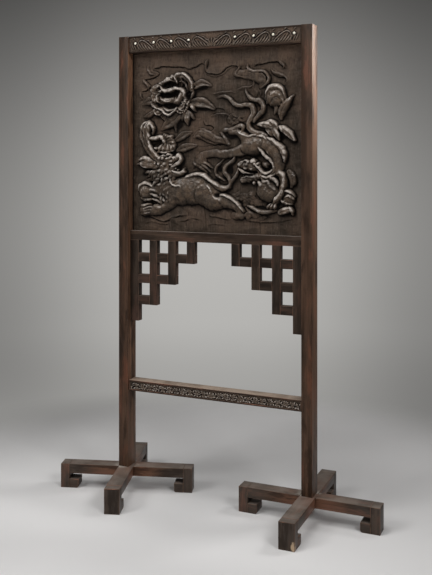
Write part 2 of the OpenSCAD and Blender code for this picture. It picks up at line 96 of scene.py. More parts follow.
class Out:
    """One output of a node. A sum, difference, product, quotient or power of it adds the Math node."""

    __add__, __radd__ = operator("ADD"), operator("ADD", swapped=True)
    __sub__, __rsub__ = operator("SUBTRACT"), operator("SUBTRACT", swapped=True)
    __mul__, __rmul__ = operator("MULTIPLY"), operator("MULTIPLY", swapped=True)
    __pow__, __rpow__ = operator("POWER"), operator("POWER", swapped=True)
    __truediv__ = operator("DIVIDE")

    def __init__(self, finish, socket):
        """Keeps the finish that the node belongs to, and the node's socket."""
        self.finish, self.socket = finish, socket

    def math(self, operation, *values):
        """The Math node of an operation on one or more values."""
        return self.finish.node("ShaderNodeMath", {"operation": operation}, dict(enumerate(values)))

    def at_least(self, low):
        """The larger of the value and low."""
        return self.math("MAXIMUM", self, low)

    def clamp(self):
        """The value kept between 0 and 1."""
        return self.math("MINIMUM", self.at_least(0.0), 1.0)

    def squared(self):
        """The value times itself."""
        return self * self

    def ramp(self, low, high):
        """0 up to low, 1 from high on, and a soft step between the two."""
        settings = {"interpolation_type": "SMOOTHSTEP"}
        values = {"Value": self, "From Min": low, "From Max": high, "To Min": 0.0, "To Max": 1.0}
        return self.finish.node("ShaderNodeMapRange", settings, values)

    def axis(self, k):
        """The x, y or z of a vector, for k = 0, 1 or 2."""
        return self.finish.node("ShaderNodeSeparateXYZ", {}, {0: self}, out=k)


class Finish:
    """A material in the making: node() adds any node, sets it up and joins its sockets."""

    def __init__(self, name):
        """A new material and its surface."""
        self.material = bpy.data.materials.new(name)
        self.material.use_nodes = True
        self.tree = self.material.node_tree
        self.surface = self.tree.nodes["Principled BSDF"]

    def node(self, kind, settings=None, values=None, out=0):
        """Adds a node, sets it up, joins its inputs, and gives one of its outputs."""
        made = self.tree.nodes.new(kind)
        for key, value in (settings or {}).items():
            setattr(made, key, value)
        self.join(made, values or {})
        return Out(self, made.outputs[out])

    def join(self, made, values):
        """Links each socket to the output given for it, or sets it to the number, vector or colour."""
        for key, value in values.items():
            if isinstance(value, Out):
                self.tree.links.new(value.socket, made.inputs[key])
            elif isinstance(value, tuple) and len(value) == 3 and made.inputs[key].type == "RGBA":
                made.inputs[key].default_value = (*value, 1.0)
            else:
                made.inputs[key].default_value = value

    def shade(self, **values):
        """Joins the surface's own sockets, whose names have an underscore for each space."""
        self.join(self.surface, {key.replace("_", " "): value for key, value in values.items()})

    def mix(self, share, first, second):
        """The first colour where share is 0 and the second where it is 1."""
        return self.node("ShaderNodeMix", {"data_type": "RGBA"}, {0: share, 6: first, 7: second}, out=2)

    def noise(self, place, scale, detail=3.0, rough=0.5):
        """Noise about 0.5 over the place times the scale: the sum of finer and finer waves."""
        values = {"Vector": place, "Scale": scale, "Detail": detail, "Roughness": rough}
        return self.node("ShaderNodeTexNoise", {}, values)

    def at(self):
        """The place on the piece, in Object coordinates."""
        return self.node("ShaderNodeTexCoord", out=3)

    def facing(self):
        """The way the surface looks."""
        return self.node("ShaderNodeNewGeometry", out=1)

    def place(self, turn=(0, 0, 0), stretch=(1, 1, 1), shift=(0, 0, 0)):
        """The place, turned, then stretched: a small stretch makes long streaks."""
        turned = self.node("ShaderNodeMapping", {}, {"Vector": self.at(), "Rotation": turn})
        return self.node("ShaderNodeMapping", {}, {"Vector": turned, "Scale": stretch, "Location": shift})

    def stored(self, name):
        """A value stored with the mesh's points."""
        return self.node("ShaderNodeAttribute", {"attribute_name": name}, out=2)


# %% [markdown]
# ## Floor and backdrop
# The screen stands on a pale floor that runs up into a grey wall behind it. A profile carried round in a
# circle makes a closed studio, so that there is something behind the screen from every side.


# %% Studio shape
def revolve(profile, steps):
    """Each point (r, z) of the profile turned about the Z axis in equal steps: x = r cos a, y = r sin a."""
    profile = np.asarray(profile, float)
    angle = np.linspace(0, 2 * np.pi, steps, endpoint=False)[:, None]
    r, z = profile[None, :, 0], profile[None, :, 1]
    return np.stack([r * np.cos(angle), r * np.sin(angle), z + 0 * angle], -1)


def grid_faces(columns, rows, closed=False):
    """Four-sided faces of a grid of columns times rows points, numbered column by column."""
    i = np.arange(columns if closed else columns - 1)[:, None]
    j = np.arange(rows - 1)[None, :]
    k = (i + 1) % columns
    return np.stack([i * rows + j, k * rows + j, k * rows + j + 1, i * rows + j + 1], -1).reshape(-1, 4)


def new_object(name, points, faces, materials, poles=False):
    """A smooth mesh object at the origin. With poles, points that fall together become one."""
    mesh = bpy.data.meshes.new(name)
    mesh.from_pydata(np.asarray(points).reshape(-1, 3).tolist(), [], [list(f) for f in faces])
    for material in materials:
        mesh.materials.append(material)
    mesh.polygons.foreach_set("use_smooth", np.ones(len(mesh.polygons), bool))
    if poles:
        work = bmesh.new()
        work.from_mesh(mesh)
        bmesh.ops.remove_doubles(work, verts=work.verts, dist=1e-6)
        work.to_mesh(mesh)
        work.free()
    mesh.update()
    made = bpy.data.objects.new(name, mesh)
    bpy.context.scene.collection.objects.link(made)
    return made


COVE = 1.6      # radius of the curve between floor and wall
WALL = 5.2      # distance of the wall
SPOKES = 96
bend = np.linspace(-np.pi / 2, 0, 17)
profile = [(0, 0), (1.5, 0), (3, 0)]
profile += [(WALL - COVE + COVE * math.cos(a), COVE + COVE * math.sin(a)) for a in bend]
profile += [(WALL, 4.5), (WALL, 6.5)]
print("studio profile of", len(profile), "points")

# %% [markdown]
# ## The studio's greys
# To the camera and to glossy reflections the wall glows with its own grey, a painted light without lamplight,
# and the floor near the screen takes real shadows. The wall's glow is brightest along a painted beam of light
# that runs past the screen, as bearing is the sideways distance from it over the distance ahead, and it fades
# upwards and to both sides. The floor is painted paler in front, and darker behind and far to the left as a
# painted fall-off of the light, with painted shadows under the panel and between the feet and painted shade
# in front on the right.

# %% Studio paper
EYE_X, EYE_Y = 1.2, -2.7            # the camera's place on the floor
SINE, COSINE = 0.408, 0.913         # of its turn
WALL_GREY, NEAR_GREY, FLOOR_TONE = 0.485, 0.62, 0.78
paper = Finish("studio_paper")
x, y, z = (paper.at().axis(k) for k in range(3))
radius, leftward, forward = (x.squared() + y.squared()) ** 0.5, -1.0 * x, -1.0 * y


def fade(amount, power=1.0):
    """e to the minus amount to a power: full at nothing and fading softly to zero."""
    return 2.718 ** (-1.0 * amount**power)


def spot(at_x, at_y, area):
    """1 at a place on the floor, and less with the square of the distance from it over the area."""
    return fade(((x - at_x).squared() + (y - at_y).squared()) / area)


def tinted(value, green, blue):
    """A grey that has a little less green and blue than red."""
    return paper.node("ShaderNodeCombineColor", {}, {0: value, 1: green * value, 2: blue * value})


ahead = ((y - EYE_Y) * COSINE - (x - EYE_X) * SINE).at_least(0.4)
bearing = ((x - EYE_X) * COSINE + (y - EYE_Y) * SINE) / ahead
# painted light: the wall's glow is brightest along this beam past the screen
painted_beam = 0.45 + 0.55 * fade(bearing.squared() / 0.0392, 1.5)
up_wall = fade((z - 0.5).squared() / 4.4)
behind = 1.0 - fade((y + 0.3).at_least(0.0) / 0.55)
far_grey = WALL_GREY * painted_beam * up_wall * (0.72 + 0.28 * radius.ramp(0.8, 3.6))
near_grey = NEAR_GREY - 0.38 * radius.ramp(1.5, 4.5)
shown = near_grey + (far_grey - near_grey) * behind
# painted shade: the floor darker behind the screen and far to the left, and a painted shadow just behind the
# panel
tone = FLOOR_TONE - (0.72 - 0.50 * painted_beam) * behind * radius.ramp(1.0, 2.2) - 0.14 * spot(-0.08, 0.16, 0.06)
tone = tone - behind * (0.06 + 0.14 * leftward.ramp(0.2, 0.8) + 0.2 * leftward.ramp(0.7, 1.1))
# painted shade in front on the right, and a painted shadow between the feet
tone = tone - 0.10 * forward.ramp(0.3, 0.55) * x.ramp(-0.35, 0.05)
tone = tone - 0.08 * spot(-0.05, -0.1, 0.04)
paper.shade(Base_Color=tinted(tone, 0.985, 0.975), Roughness=0.8)
# the wall's glow is painted light, shown to the camera and in reflections in place of lamplight
glow = paper.node("ShaderNodeEmission", {}, {"Color": tinted(shown, 0.985, 0.95), "Strength": 1.0})
to_camera, to_glossy, to_glass = (paper.node("ShaderNodeLightPath", out=k) for k in (0, 3, 6))
seen = (to_camera + 0.3 * to_glossy + to_glass).clamp()
both = paper.node("ShaderNodeMixShader", {}, {0: seen * radius.ramp(1.0, 1.6), 2: glow})
paper.tree.links.new(paper.surface.outputs[0], both.socket.node.inputs[1])
paper.tree.links.new(both.socket, paper.tree.nodes["Material Output"].inputs[0])
points = revolve(profile, SPOKES)
inward = grid_faces(SPOKES, len(profile), closed=True)[:, ::-1]
studio = new_object("studio", points, inward, [paper.material], poles=True)
print("studio of", len(studio.data.polygons), "faces")


# %% [markdown]
# ## Lamps
# Dark waxed wood shows its form by what it mirrors. Two large soft lamps stand in front, one to each side
# and well above, so that the shadow under the top rail is short; a weaker one overhead lights the edges of
# the carving, on which the finish also paints highlights, and a small one behind on the right lights the top
# of that post's side, which its finish also paints paler as a painted sheen.

# %% Lamps
def soft_lamp(name, place, target, size, watts, size_y=None, spread=180):
    """A rectangular lamp. It shines along its own -Z, so it is tilted by acos(-z) and turned by atan2(-x, y)
    of the direction to its target."""
    data = bpy.data.lights.new(name, "AREA")
    data.spread = math.radians(spread)
    data.energy = watts
    data.shape = "RECTANGLE"
    data.size, data.size_y = size, size_y or size
    made = bpy.data.objects.new(name, data)
    made.location = place
    aim = (np.asarray(target) - place) / np.linalg.norm(np.asarray(target) - place)
    made.rotation_euler = (math.acos(-aim[2]), 0, math.atan2(-aim[0], aim[1]))
    made.visible_camera = False
    bpy.context.scene.collection.objects.link(made)


soft_lamp("overhead", (-0.2, -0.9, 3.8), (0, 0, 0.9), 1.5, 42)
soft_lamp("front_left", (-2.4, -3.9, 4.0), (0, 0, 1.0), 1.9, 84)
soft_lamp("front_right", (3.5, -2.3, 3.8), (0.1, 0, 1.0), 1.6, 84)
soft_lamp("side_strip", (1.3, 0.85, 2.05), (0.36, 0, 1.62), 0.5, 9, size_y=0.9, spread=90)
world = bpy.data.worlds.new("world")
world.use_nodes = True
world.node_tree.nodes["Background"].inputs["Color"].default_value = (0.5, 0.5, 0.5, 1)
world.node_tree.nodes["Background"].inputs["Strength"].default_value = 0.12
bpy.context.scene.world = world
print("lamps:", len(bpy.data.lights))


# %% [markdown]
# ## Old dark wood
# Every stick is the same dark hardwood, stained nearly black and rubbed by hands for a century. Seen close
# it has long streaks of red-brown under the stain, fine open pores, a dull dusty bloom with a painted sheen
# on faces that look up and a warmer, shinier arris. The streaks run along each stick, so the pattern is
# stretched along its grain: noise across the grain changes quickly, and along it slowly.

# %% Wood finish
POST_DARK, POST_LIGHT = (0.028, 0.0155, 0.010), (0.094, 0.052, 0.033)
RAIL_DARK, RAIL_LIGHT = (0.026, 0.017, 0.0125), (0.088, 0.057, 0.040)
FRET_DARK, FRET_LIGHT = (0.016, 0.0115, 0.009), (0.051, 0.034, 0.025)
FOOT_DARK, FOOT_LIGHT = (0.030, 0.020, 0.015), (0.105, 0.064, 0.044)
WORN, PALE_EDGE = ((0.075, 0.045, 0.031), (0.16, 0.10, 0.07)), ((0.030, 0.020, 0.015), (0.09, 0.06, 0.043))
SIDE_SHEEN, REDDENED, BLACKENED = (0.28, 0.150, 0.087), (0.185, 0.086, 0.052), (0.046, 0.039, 0.034)
BLOOM_AND_SHEEN, PALE_BLOOM_AND_SHEEN, PALEST_BLOOM_AND_SHEEN = (0.20, 0.165, 0.14), (0.27, 0.21, 0.165), (0.46, 0.41, 0.37)
PAINTED_SHADE, RUBBED, NEW_WOOD = (0.012, 0.007, 0.005), (0.42, 0.38, 0.33), (0.40, 0.29, 0.19)


def along(grain, share):
    """A stretch with that share on the grain's axis and 1 on the other two."""
    return tuple(share if axis == grain else 1 for axis in "XYZ")


def darker(colour, share):
    """The share of each of a colour's three values."""
    return tuple(share * c for c in colour)


def old_wood(name, grain, dark, light, seed=0.0, turn=0.0, gloss=0.42, dust_and_sheen=0.0, sides=None, shade_band=None,
             hub=None, bloom_and_sheen=BLOOM_AND_SHEEN, bare=None):
    """Dark wood with its grain along one axis, turned by some degrees about Z to follow its piece. Over
    the streaks lie red-brown and near-black stains, and faces turned sideways can be painted in a paler
    colour, most towards the top, as a painted sheen. A band of painted shade darkens upright faces below a
    first and above a second height. With a hub at x, y the wood is redder there and blackened away from it.
    Bare is a place x, y, z where a chip shows pale new wood. Faces that look up take dust with a painted
    sheen."""
    f = Finish(name)
    angle, shift = (0, 0, -math.radians(turn)), (seed, seed * 0.7, seed * 0.3)
    streaks = f.noise(f.place(angle, along(grain, 0.04), shift), 55.0, 4.0, 0.6)
    fibres = f.noise(f.place(angle, along(grain, 0.01), shift), 420.0, 2.0, 0.5)
    clouds = f.noise(f.place(angle, along(grain, 0.3), shift), 9.0, 2.0, 0.5)
    stains = f.noise(f.place(angle, along(grain, 0.22), (seed * 1.3, seed, 2.0)), 26.0, 4.0, 0.62)
    patches = f.noise(f.place(), 14.0, 4.0, 0.6).ramp(0.3, 0.75)
    px, py, pz = (f.at().axis(k) for k in range(3))
    upward = f.facing().axis(2)
    level, steep = upward.ramp(0.3, 0.95), 1.0 - upward.ramp(0.3, 0.8)
    wood = f.mix((streaks.ramp(0.33, 0.72) * 0.75 + clouds.ramp(0.35, 0.7) * 0.45 - 0.1).clamp(), dark, light)
    # painted sheen: faces turned sideways are painted paler, most of all towards the top
    if sides:
        sideways = f.facing().axis(0)
        sideways = sideways.math("ABSOLUTE", sideways).ramp(0.7, 0.95)
        side_sheen_wood = f.mix(streaks.ramp(0.3, 0.7), darker(sides, 0.55), sides)
        wood = f.mix(sideways * (0.25 + 0.65 * pz.ramp(1.0, 1.6)), wood, side_sheen_wood)
    if hub:
        away = ((px - hub[0]).squared() + (py - hub[1]).squared()) ** 0.5
        wood = f.mix((1.0 - away.ramp(0.05, 0.16)) * (0.2 + 0.9 * streaks), wood, REDDENED)
        wood = f.mix(away.ramp(0.12, 0.19) * 0.65, wood, BLACKENED)
    red = tuple(min(2.6 * c, 0.3) * k for c, k in zip(dark, (1.9, 1.35, 1.25)))
    wood = f.mix(stains.ramp(0.52, 0.66) * 0.6, wood, red)
    wood = f.mix((1.0 - stains).ramp(0.51, 0.62) * 0.7, wood, darker(dark, 0.45))
    wood = f.mix(fibres.ramp(0.52, 0.72) * 0.45, wood, darker(dark, 0.55))
    # painted shade: a dark band on upright faces near the lower and upper edges
    if shade_band:
        shade_share = (1.0 - pz.ramp(shade_band[0], shade_band[0] + 0.0025) + pz.ramp(shade_band[1] - 0.0015, shade_band[1])).clamp()
        wood = f.mix(shade_share * steep * 0.8, wood, PAINTED_SHADE)
    # dust with a painted sheen on faces that look up
    if dust_and_sheen:
        wood = f.mix((level * (0.35 + 0.65 * patches) * dust_and_sheen).clamp(), wood, bloom_and_sheen)
    if hub:
        handled = level * (1.0 - away.ramp(0.030, 0.052)) * patches.ramp(0.25, 0.6)
        wood = f.mix(handled * 0.8, wood, RUBBED)
    if bare:
        low = (pz - bare[2]) * 0.45
        gap = ((px - bare[0]).squared() + (py - bare[1]).squared() * 0.3 + low.squared()) ** 0.5
        chip = 1.0 - (gap + 0.014 * (patches - 0.5) + 0.012 * (fibres - 0.5)).ramp(0.003, 0.0055)
        wood = f.mix(chip, wood, NEW_WOOD)
    rough = gloss + 0.16 * patches - 0.10 * streaks + level * 0.25 * dust_and_sheen
    pores = {"Strength": 0.35, "Distance": 0.0006, "Height": fibres * 0.6 + streaks * 0.5}
    f.shade(Base_Color=wood, Roughness=rough, Normal=f.node("ShaderNodeBump", {}, pores))
    f.shade(Coat_Weight=0.02 + 0.10 * patches, Coat_Roughness=0.3)
    f.shade(Specular_IOR_Level=0.14, Specular_Tint=(1.0, 0.82, 0.68))
    return f.material


# %% [markdown]
# ## Dressing a stick
# A stick straight from construction has edges sharp as a razor, which no old furniture has. A copy of each
# solid is cleaned of its loose triangles and gets a small rounded arris by a Bevel modifier, whose faces
# take a second, paler finish: that is the wear. Rounding by bevel keeps the flat faces truly flat, which
# a subdivided box would not.

# %% Dressing
def body_of(node):
    """The body whose list holds the node."""
    bodies = frame["record"]["behaviour"]["bodies"]
    return next(name for name, members in bodies.items() if node in members)


def settle(piece, node):
    """The piece moves with the body of the node it stands for, and takes its place."""
    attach(piece, body_of(node))
    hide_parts(node)
    return piece


def clean_copy(node):
    """The node's mesh with equal points joined and flat neighbours made one face."""
    work = bmesh.new()
    work.from_mesh(frame["nodes"][node].data)
    bmesh.ops.remove_doubles(work, verts=work.verts, dist=1e-6)
    bmesh.ops.dissolve_limit(work, angle_limit=math.radians(1.0), verts=work.verts, edges=work.edges)
    mesh = bpy.data.meshes.new(node + "_wood")
    work.to_mesh(mesh)
    work.free()
    return mesh


def dress(node, wood, worn, arris=1.2):
    """The clean copy in its wood, with a worn arris of that width in mm."""
    mesh = clean_copy(node)
    mesh.materials.append(wood)
    mesh.materials.append(worn)
    mesh.polygons.foreach_set("material_index", np.zeros(len(mesh.polygons), int))
    mesh.polygons.foreach_set("use_smooth", np.ones(len(mesh.polygons), bool))
    piece = bpy.data.objects.new(node + "_wood", mesh)
    bpy.context.scene.collection.objects.link(piece)
    bevel = piece.modifiers.new("arris", "BEVEL")
    bevel.width = arris * MM
    bevel.segments = 2
    bevel.limit_method = "ANGLE"
    bevel.angle_limit = math.radians(40)
    bevel.harden_normals = True
    bevel.material = 1
    return settle(piece, node)


# %% [markdown]
# ## Posts, rails and fret
# The grain runs up the posts and the uprights of the fret, and along the rails and crossbars. Each stick
# was cut from another place in the log, so each shifts the pattern by its own amount.

# %% Posts, rails and fret
def nodes_with(words):
    """The names of the nodes that contain the words, in order."""
    return sorted(n for n in frame["nodes"] if words in n)


worn = {"Z": old_wood("worn_upright", "Z", *WORN, seed=3.1, gloss=0.36),
        "X": old_wood("worn_across", "X", *WORN, seed=5.3, gloss=0.36)}
for k, node in enumerate(nodes_with("post_")):
    wood = old_wood(node + "_finish", "Z", POST_DARK, POST_LIGHT, seed=1.7 * k + 0.4, gloss=0.44, sides=SIDE_SHEEN)
    dress(node, wood, worn["Z"], arris=1.6)
# the fret rail's arris takes pale dust with a painted sheen on its upper faces
pale_edge = old_wood("pale_edge", "X", *PALE_EDGE, seed=4.0, dust_and_sheen=1.6, bloom_and_sheen=PALEST_BLOOM_AND_SHEEN)
# rails: painted shade in a band near the front's edges; the lower rail's top: pale dust, painted sheen
RAILS = {
    "top_rail": (dict(dust_and_sheen=0.5, shade_band=(1.0, 1.6500)), worn["X"], 1.2),
    "fret_rail": (dict(dust_and_sheen=0.5), pale_edge, 2.0),
    "lower_rail": (dict(dust_and_sheen=1.5, bloom_and_sheen=PALE_BLOOM_AND_SHEEN, shade_band=(0.3712, 0.3990)), worn["X"], 1.2),
    "panel_batten_upper": (dict(dust_and_sheen=0.3), worn["X"], 1.2),
    "panel_batten_lower": (dict(dust_and_sheen=0.3), worn["X"], 1.2),
}
for k, (node, (how, edge, arris)) in enumerate(RAILS.items()):
    wood = old_wood(node + "_finish", "X", RAIL_DARK, RAIL_LIGHT, seed=2.3 * k + 0.9, **how)
    dress(node, wood, edge, arris)
for k, node in enumerate(nodes_with("_fret_")):
    grain = "X" if "crossbar" in node else "Z"
    wood = old_wood(node + "_finish", grain, FRET_DARK, FRET_LIGHT, seed=0.61 * k, gloss=0.44, dust_and_sheen=0.4)
    dress(node, wood, worn[grain], arris=0.8)
print(len(nodes_with("post_")) + len(RAILS) + len(nodes_with("_fret_")), "sticks of the stand dressed")

# %% [markdown]
# ## Feet
# Each foot is turned a little on its post, so its sticks don't lie along the room's axes. The pattern is
# turned by the same angle. The tops of the feet have gathered dust and scuffs, painted with a sheen as well,
# and the right foot's front leg has lost a chip.

# %% Feet
FOOT_TURN = {"left": 17.5, "right": 1.0}
CHIPPED, CHIP = "right_foot_front_leg", (0.377, -0.244, 0.013)
for k, node in enumerate(nodes_with("_foot_")):
    side, part = node.split("_foot_")
    grain = "Z" if part.endswith("leg") else "Y" if part.startswith(("front", "back")) else "X"
    hub = (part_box("post_" + side)[0][0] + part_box("post_" + side)[1][0]) / 2, 0.0
    wood = old_wood(node + "_finish", grain, FOOT_DARK, FOOT_LIGHT, seed=0.83 * k, turn=FOOT_TURN[side],
                    gloss=0.42, dust_and_sheen=0.9, hub=hub, bare=CHIP if node == CHIPPED else None)
    dress(node, wood, worn["Z" if grain == "Z" else "X"], arris=1.4)
print(len(nodes_with("_foot_")), "sticks of the feet dressed")

# %% [markdown]
# ## Carving as a height over the board
# The panel was carved from thick boards: everything on it is a height above the cut-back ground. So the
# carving is one grid of heights, and each carved form is a small formula that raises part of it. A brush
# in sculpt mode would do too, but a formula gives the same lion every time and can be corrected by its
# numbers. All lengths in these cells are in millimetres, x from the middle of the opening and z from its
# lower edge, as a carver would mark them on the board.


# %% Heights
def spline(rows, steps=10):
    """A smooth path through the rows. Between two rows each column is the cubic whose slope at a row is half
    the step between that row's neighbours."""
    rows = np.asarray(rows, float)
    p = np.vstack([2 * rows[0] - rows[1], rows, 2 * rows[-1] - rows[-2]])
    a, b, c, d = (q[:, None] for q in (p[:-3], p[1:-2], p[2:-1], p[3:]))
    t = np.linspace(0, 1, steps, endpoint=False)[None, :, None]
    path = 0.5 * (2 * b + (c - a) * t + (2 * a - 5 * b + 4 * c - d) * t**2 + (3 * b - a - 3 * c + d) * t**3)
    return np.vstack([path.reshape(-1, rows.shape[1]), rows[-1]])


BELOW = -99.0       # mm, a height that nothing shows at


class Relief:
    """Heights h in mm, and soot with painted shade, over a grid of places x, z."""

    def __init__(self, xs, zs, height=0.0):
        """A flat sheet at one height, without soot or painted shade."""
        self.xs, self.zs = xs, zs
        self.x, self.z = np.meshgrid(xs, zs, indexing="ij")
        self.h = np.full(self.x.shape, height)
        self.soot_and_shade = np.zeros(self.x.shape)

    def blank(self):
        """An empty sheet of the same size, far below the ground, for forms that melt into each other."""
        return Relief(self.xs, self.zs, BELOW)

    def window(self, x0, x1, z0, z1):
        """The part of the grid between two values of x and two of z."""
        return (slice(*np.searchsorted(self.xs, [x0, x1])), slice(*np.searchsorted(self.zs, [z0, z1])))

    def raise_to(self, part, value, inside, melt=0.0):
        """Inside, the higher of the two. With melt, a hollow of that size is filled where they cross: the
        higher plus the square of what melt exceeds their difference by, over four times melt."""
        old, value = self.h[part], np.where(inside, value, BELOW)
        fill = np.maximum(melt - np.abs(old - value), 0) ** 2 / (4 * melt) if melt else 0
        self.h[part] = np.maximum(old, value) + fill

    def merge(self, sheet):
        """Lays another sheet over this one: the higher counts, with its own soot and painted shade."""
        over = sheet.h > self.h
        self.h, self.soot_and_shade = np.where(over, sheet.h, self.h), np.where(over, sheet.soot_and_shade, self.soot_and_shade)

    def spread(self, x, z, rx, rz):
        """The square of the distance from a place, in half sizes."""
        return ((self.x - x) / rx) ** 2 + ((self.z - z) / rz) ** 2

    def near(self, path, reach=1.0):
        """For each place near the path: q, its distance from the path as a share of the stroke's half width;
        how far along the path it is; q with the sign of its side; and the stroke's height there. The path's
        straight piece with the least q counts."""
        pad = reach * path[:, 2].max()
        part = self.window(path[:, 0].min() - pad, path[:, 0].max() + pad,
                           path[:, 1].min() - pad, path[:, 1].max() + pad)
        px, pz = self.x[part][..., None], self.z[part][..., None]
        start, step = path[:-1], np.diff(path, axis=0)
        size = np.hypot(step[:, 0], step[:, 1]) + 1e-9
        t = ((px - start[:, 0]) * step[:, 0] + (pz - start[:, 1]) * step[:, 1]) / size**2
        t = np.clip(t, 0, 1)
        ex, ez = px - start[:, 0] - t * step[:, 0], pz - start[:, 1] - t * step[:, 1]
        q = np.hypot(ex, ez) / np.maximum(start[:, 2] + t * step[:, 2], 0.3)
        best = q.argmin(-1)[..., None]
        arc = np.concatenate([[0], np.cumsum(size)[:-1]]) + t * size
        side = np.sign(step[:, 0] * ez - step[:, 1] * ex)
        rise = start[:, 3] + t * step[:, 3]
        q, arc, side, rise = (np.take_along_axis(v, best, -1)[..., 0] for v in (q, arc, side, rise))
        return part, q, arc, q * side, rise


def smooth_noise(shape, cells, seed):
    """Random heights on a coarse grid, blended between its points by a smooth cosine step."""
    coarse = np.random.default_rng(seed).uniform(-1, 1, (cells[0] + 2, cells[1] + 2))
    u = np.linspace(0, cells[0], shape[0])
    v = np.linspace(0, cells[1], shape[1])
    i, j = u.astype(int), v.astype(int)
    a, b = (0.5 - 0.5 * np.cos(np.pi * (w - w.astype(int))) for w in (u, v))
    a, b = a[:, None], b[None, :]
    top = coarse[i][:, j] * (1 - b) + coarse[i][:, j + 1] * b
    low = coarse[i + 1][:, j] * (1 - b) + coarse[i + 1][:, j + 1] * b
    return top * (1 - a) + low * a


# %% [markdown]
# ## The carver's strokes
# Nearly everything on the panel is a stroke, a rounded band that swells and thins along a path, or a boss,
# a rounded lump. A ripple lengthwise makes a stroke hair, and one across makes it a ruffle or a paw.


# %% Strokes
def dome(q, crown):
    """The section of a rounded form: (1 - q^crown)^(1/2), for q from 0 in its middle to 1 at its edge."""
    return np.clip(1 - np.clip(q, 0, 1) ** crown, 0, 1) ** 0.5


def ridges(turns):
    """0 on the ridges and 1 in the cuts between them: one less the size of the sine of half turns."""
    return 1 - np.abs(np.sin(np.pi * turns))


def stroke(sheet, rows, crown=2.0, strands=0, bands=0.0, cut=1.5, melt=0.0, base=0.0):
    """A rounded band along a path of rows (x, z, half width, height). Strands cuts it lengthwise into that
    many ridges, bands across every so many mm."""
    part, q, arc, side, rise = sheet.near(spline(rows))
    value = base + (rise - base) * dome(q, crown)
    if strands:
        value -= cut * ridges(strands * (side + 1) / 2) ** 1.5
    if bands:
        value -= cut * ridges(arc / bands + 0.25 * np.abs(side)) ** 2.5
    sheet.raise_to(part, value, q < 1, melt)


def strokes(sheet, paths, **how):
    """One stroke for each path, all made alike."""
    for rows in paths:
        stroke(sheet, rows, **how)


def boss(sheet, x, z, rx, rz, height, turn=0, crown=2.0, spiral=0.0, cut=2.0, base=0.0, melt=0.0):
    """A dome on an ellipse. With spiral, a groove winds in as many turns from its edge to its middle."""
    reach = 1.25 * max(rx, rz)
    part = sheet.window(x - reach, x + reach, z - reach, z + reach)
    a, b = sheet.x[part] - x, sheet.z[part] - z
    c, s = math.cos(math.radians(turn)), math.sin(math.radians(turn))
    u, v = (a * c + b * s) / rx, (b * c - a * s) / rz
    q, phi = np.hypot(u, v), np.arctan2(v, u)
    value = base + (height - base) * dome(q, crown)
    if spiral:
        value -= cut * (0.5 + 0.5 * np.cos(phi - 2 * np.pi * abs(spiral) * q * np.sign(spiral))) ** 2
    sheet.raise_to(part, value, q < 1, melt)


def bosses(sheet, places, **how):
    """One boss for each place, all made alike."""
    for place in places:
        boss(sheet, *place, **how)


def groove(sheet, rows, width=2.0, depth=2.0):
    """A cut along a path: the depth times e to the minus square of the distance in widths."""
    part, q, arc, side, rise = sheet.near(spline([(x, z, 3 * width, 0) for x, z in rows]))
    ends = np.clip(arc / 6, 0, 1) * np.clip((arc.max() - arc) / 6, 0, 1)
    sheet.h[part] -= depth * np.exp(-((3 * q) ** 2)) * ends * (q < 1)


# %% [markdown]
# ## The ground: clouds, ripples and rocks
# Behind the figures the ground is cut back in shallow steps that read as drifting clouds above and as
# terraces of rock below. Each edge is a ledge: the surface swells up to it and drops behind. A ledge that
# looks down shows as a dark line and one that looks up as a light line, because the light is above.

# %% Ground
def ledge(sheet, rows, drop=3.0, reach=20.0):
    """A cloud's edge: on the left of its direction the ground swells up to the path, as the drop times e
    to the minus distance over reach, and on the right it falls into a narrow cut."""
    part, q, arc, side, rise = sheet.near(spline([(x, z, reach, drop) for x, z in rows]), 2.2)
    ends = np.clip(arc / 12, 0, 1) * np.clip((arc.max() - arc) / 12, 0, 1)
    swell = drop * np.exp(-1.4 * q) * np.clip(2.2 - q, 0, 1) * ends
    cut = 0.6 * drop * np.exp(-((q * reach / 3.6) ** 2)) * ends
    sheet.h[part] += np.where(side > 0, swell, -cut)


cad_x = sorted({round(v / MM, 3) for n in ("left", "middle", "right") for v in
                (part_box("panel_board_" + n)[0][0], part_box("panel_board_" + n)[1][0])})
z_low, z_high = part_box("panel_board_middle")[0][2] / MM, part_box("panel_board_middle")[1][2] / MM
OPENING_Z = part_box("fret_rail")[1][2] / MM
CELL = 1.4
columns = [np.linspace(a, b, int(round((b - a) / CELL)) + 1) for a, b in zip(cad_x[:-1], cad_x[1:])]
xs = np.concatenate([columns[0], columns[1][1:], columns[2][1:]])
zs = np.linspace(z_low, z_high, int(round((z_high - z_low) / CELL)) + 1) - OPENING_Z
panel = Relief(xs, zs)
panel.h += 0.9 * smooth_noise(panel.h.shape, (11, 10), 4) + 0.3 * smooth_noise(panel.h.shape, (90, 60), 5)

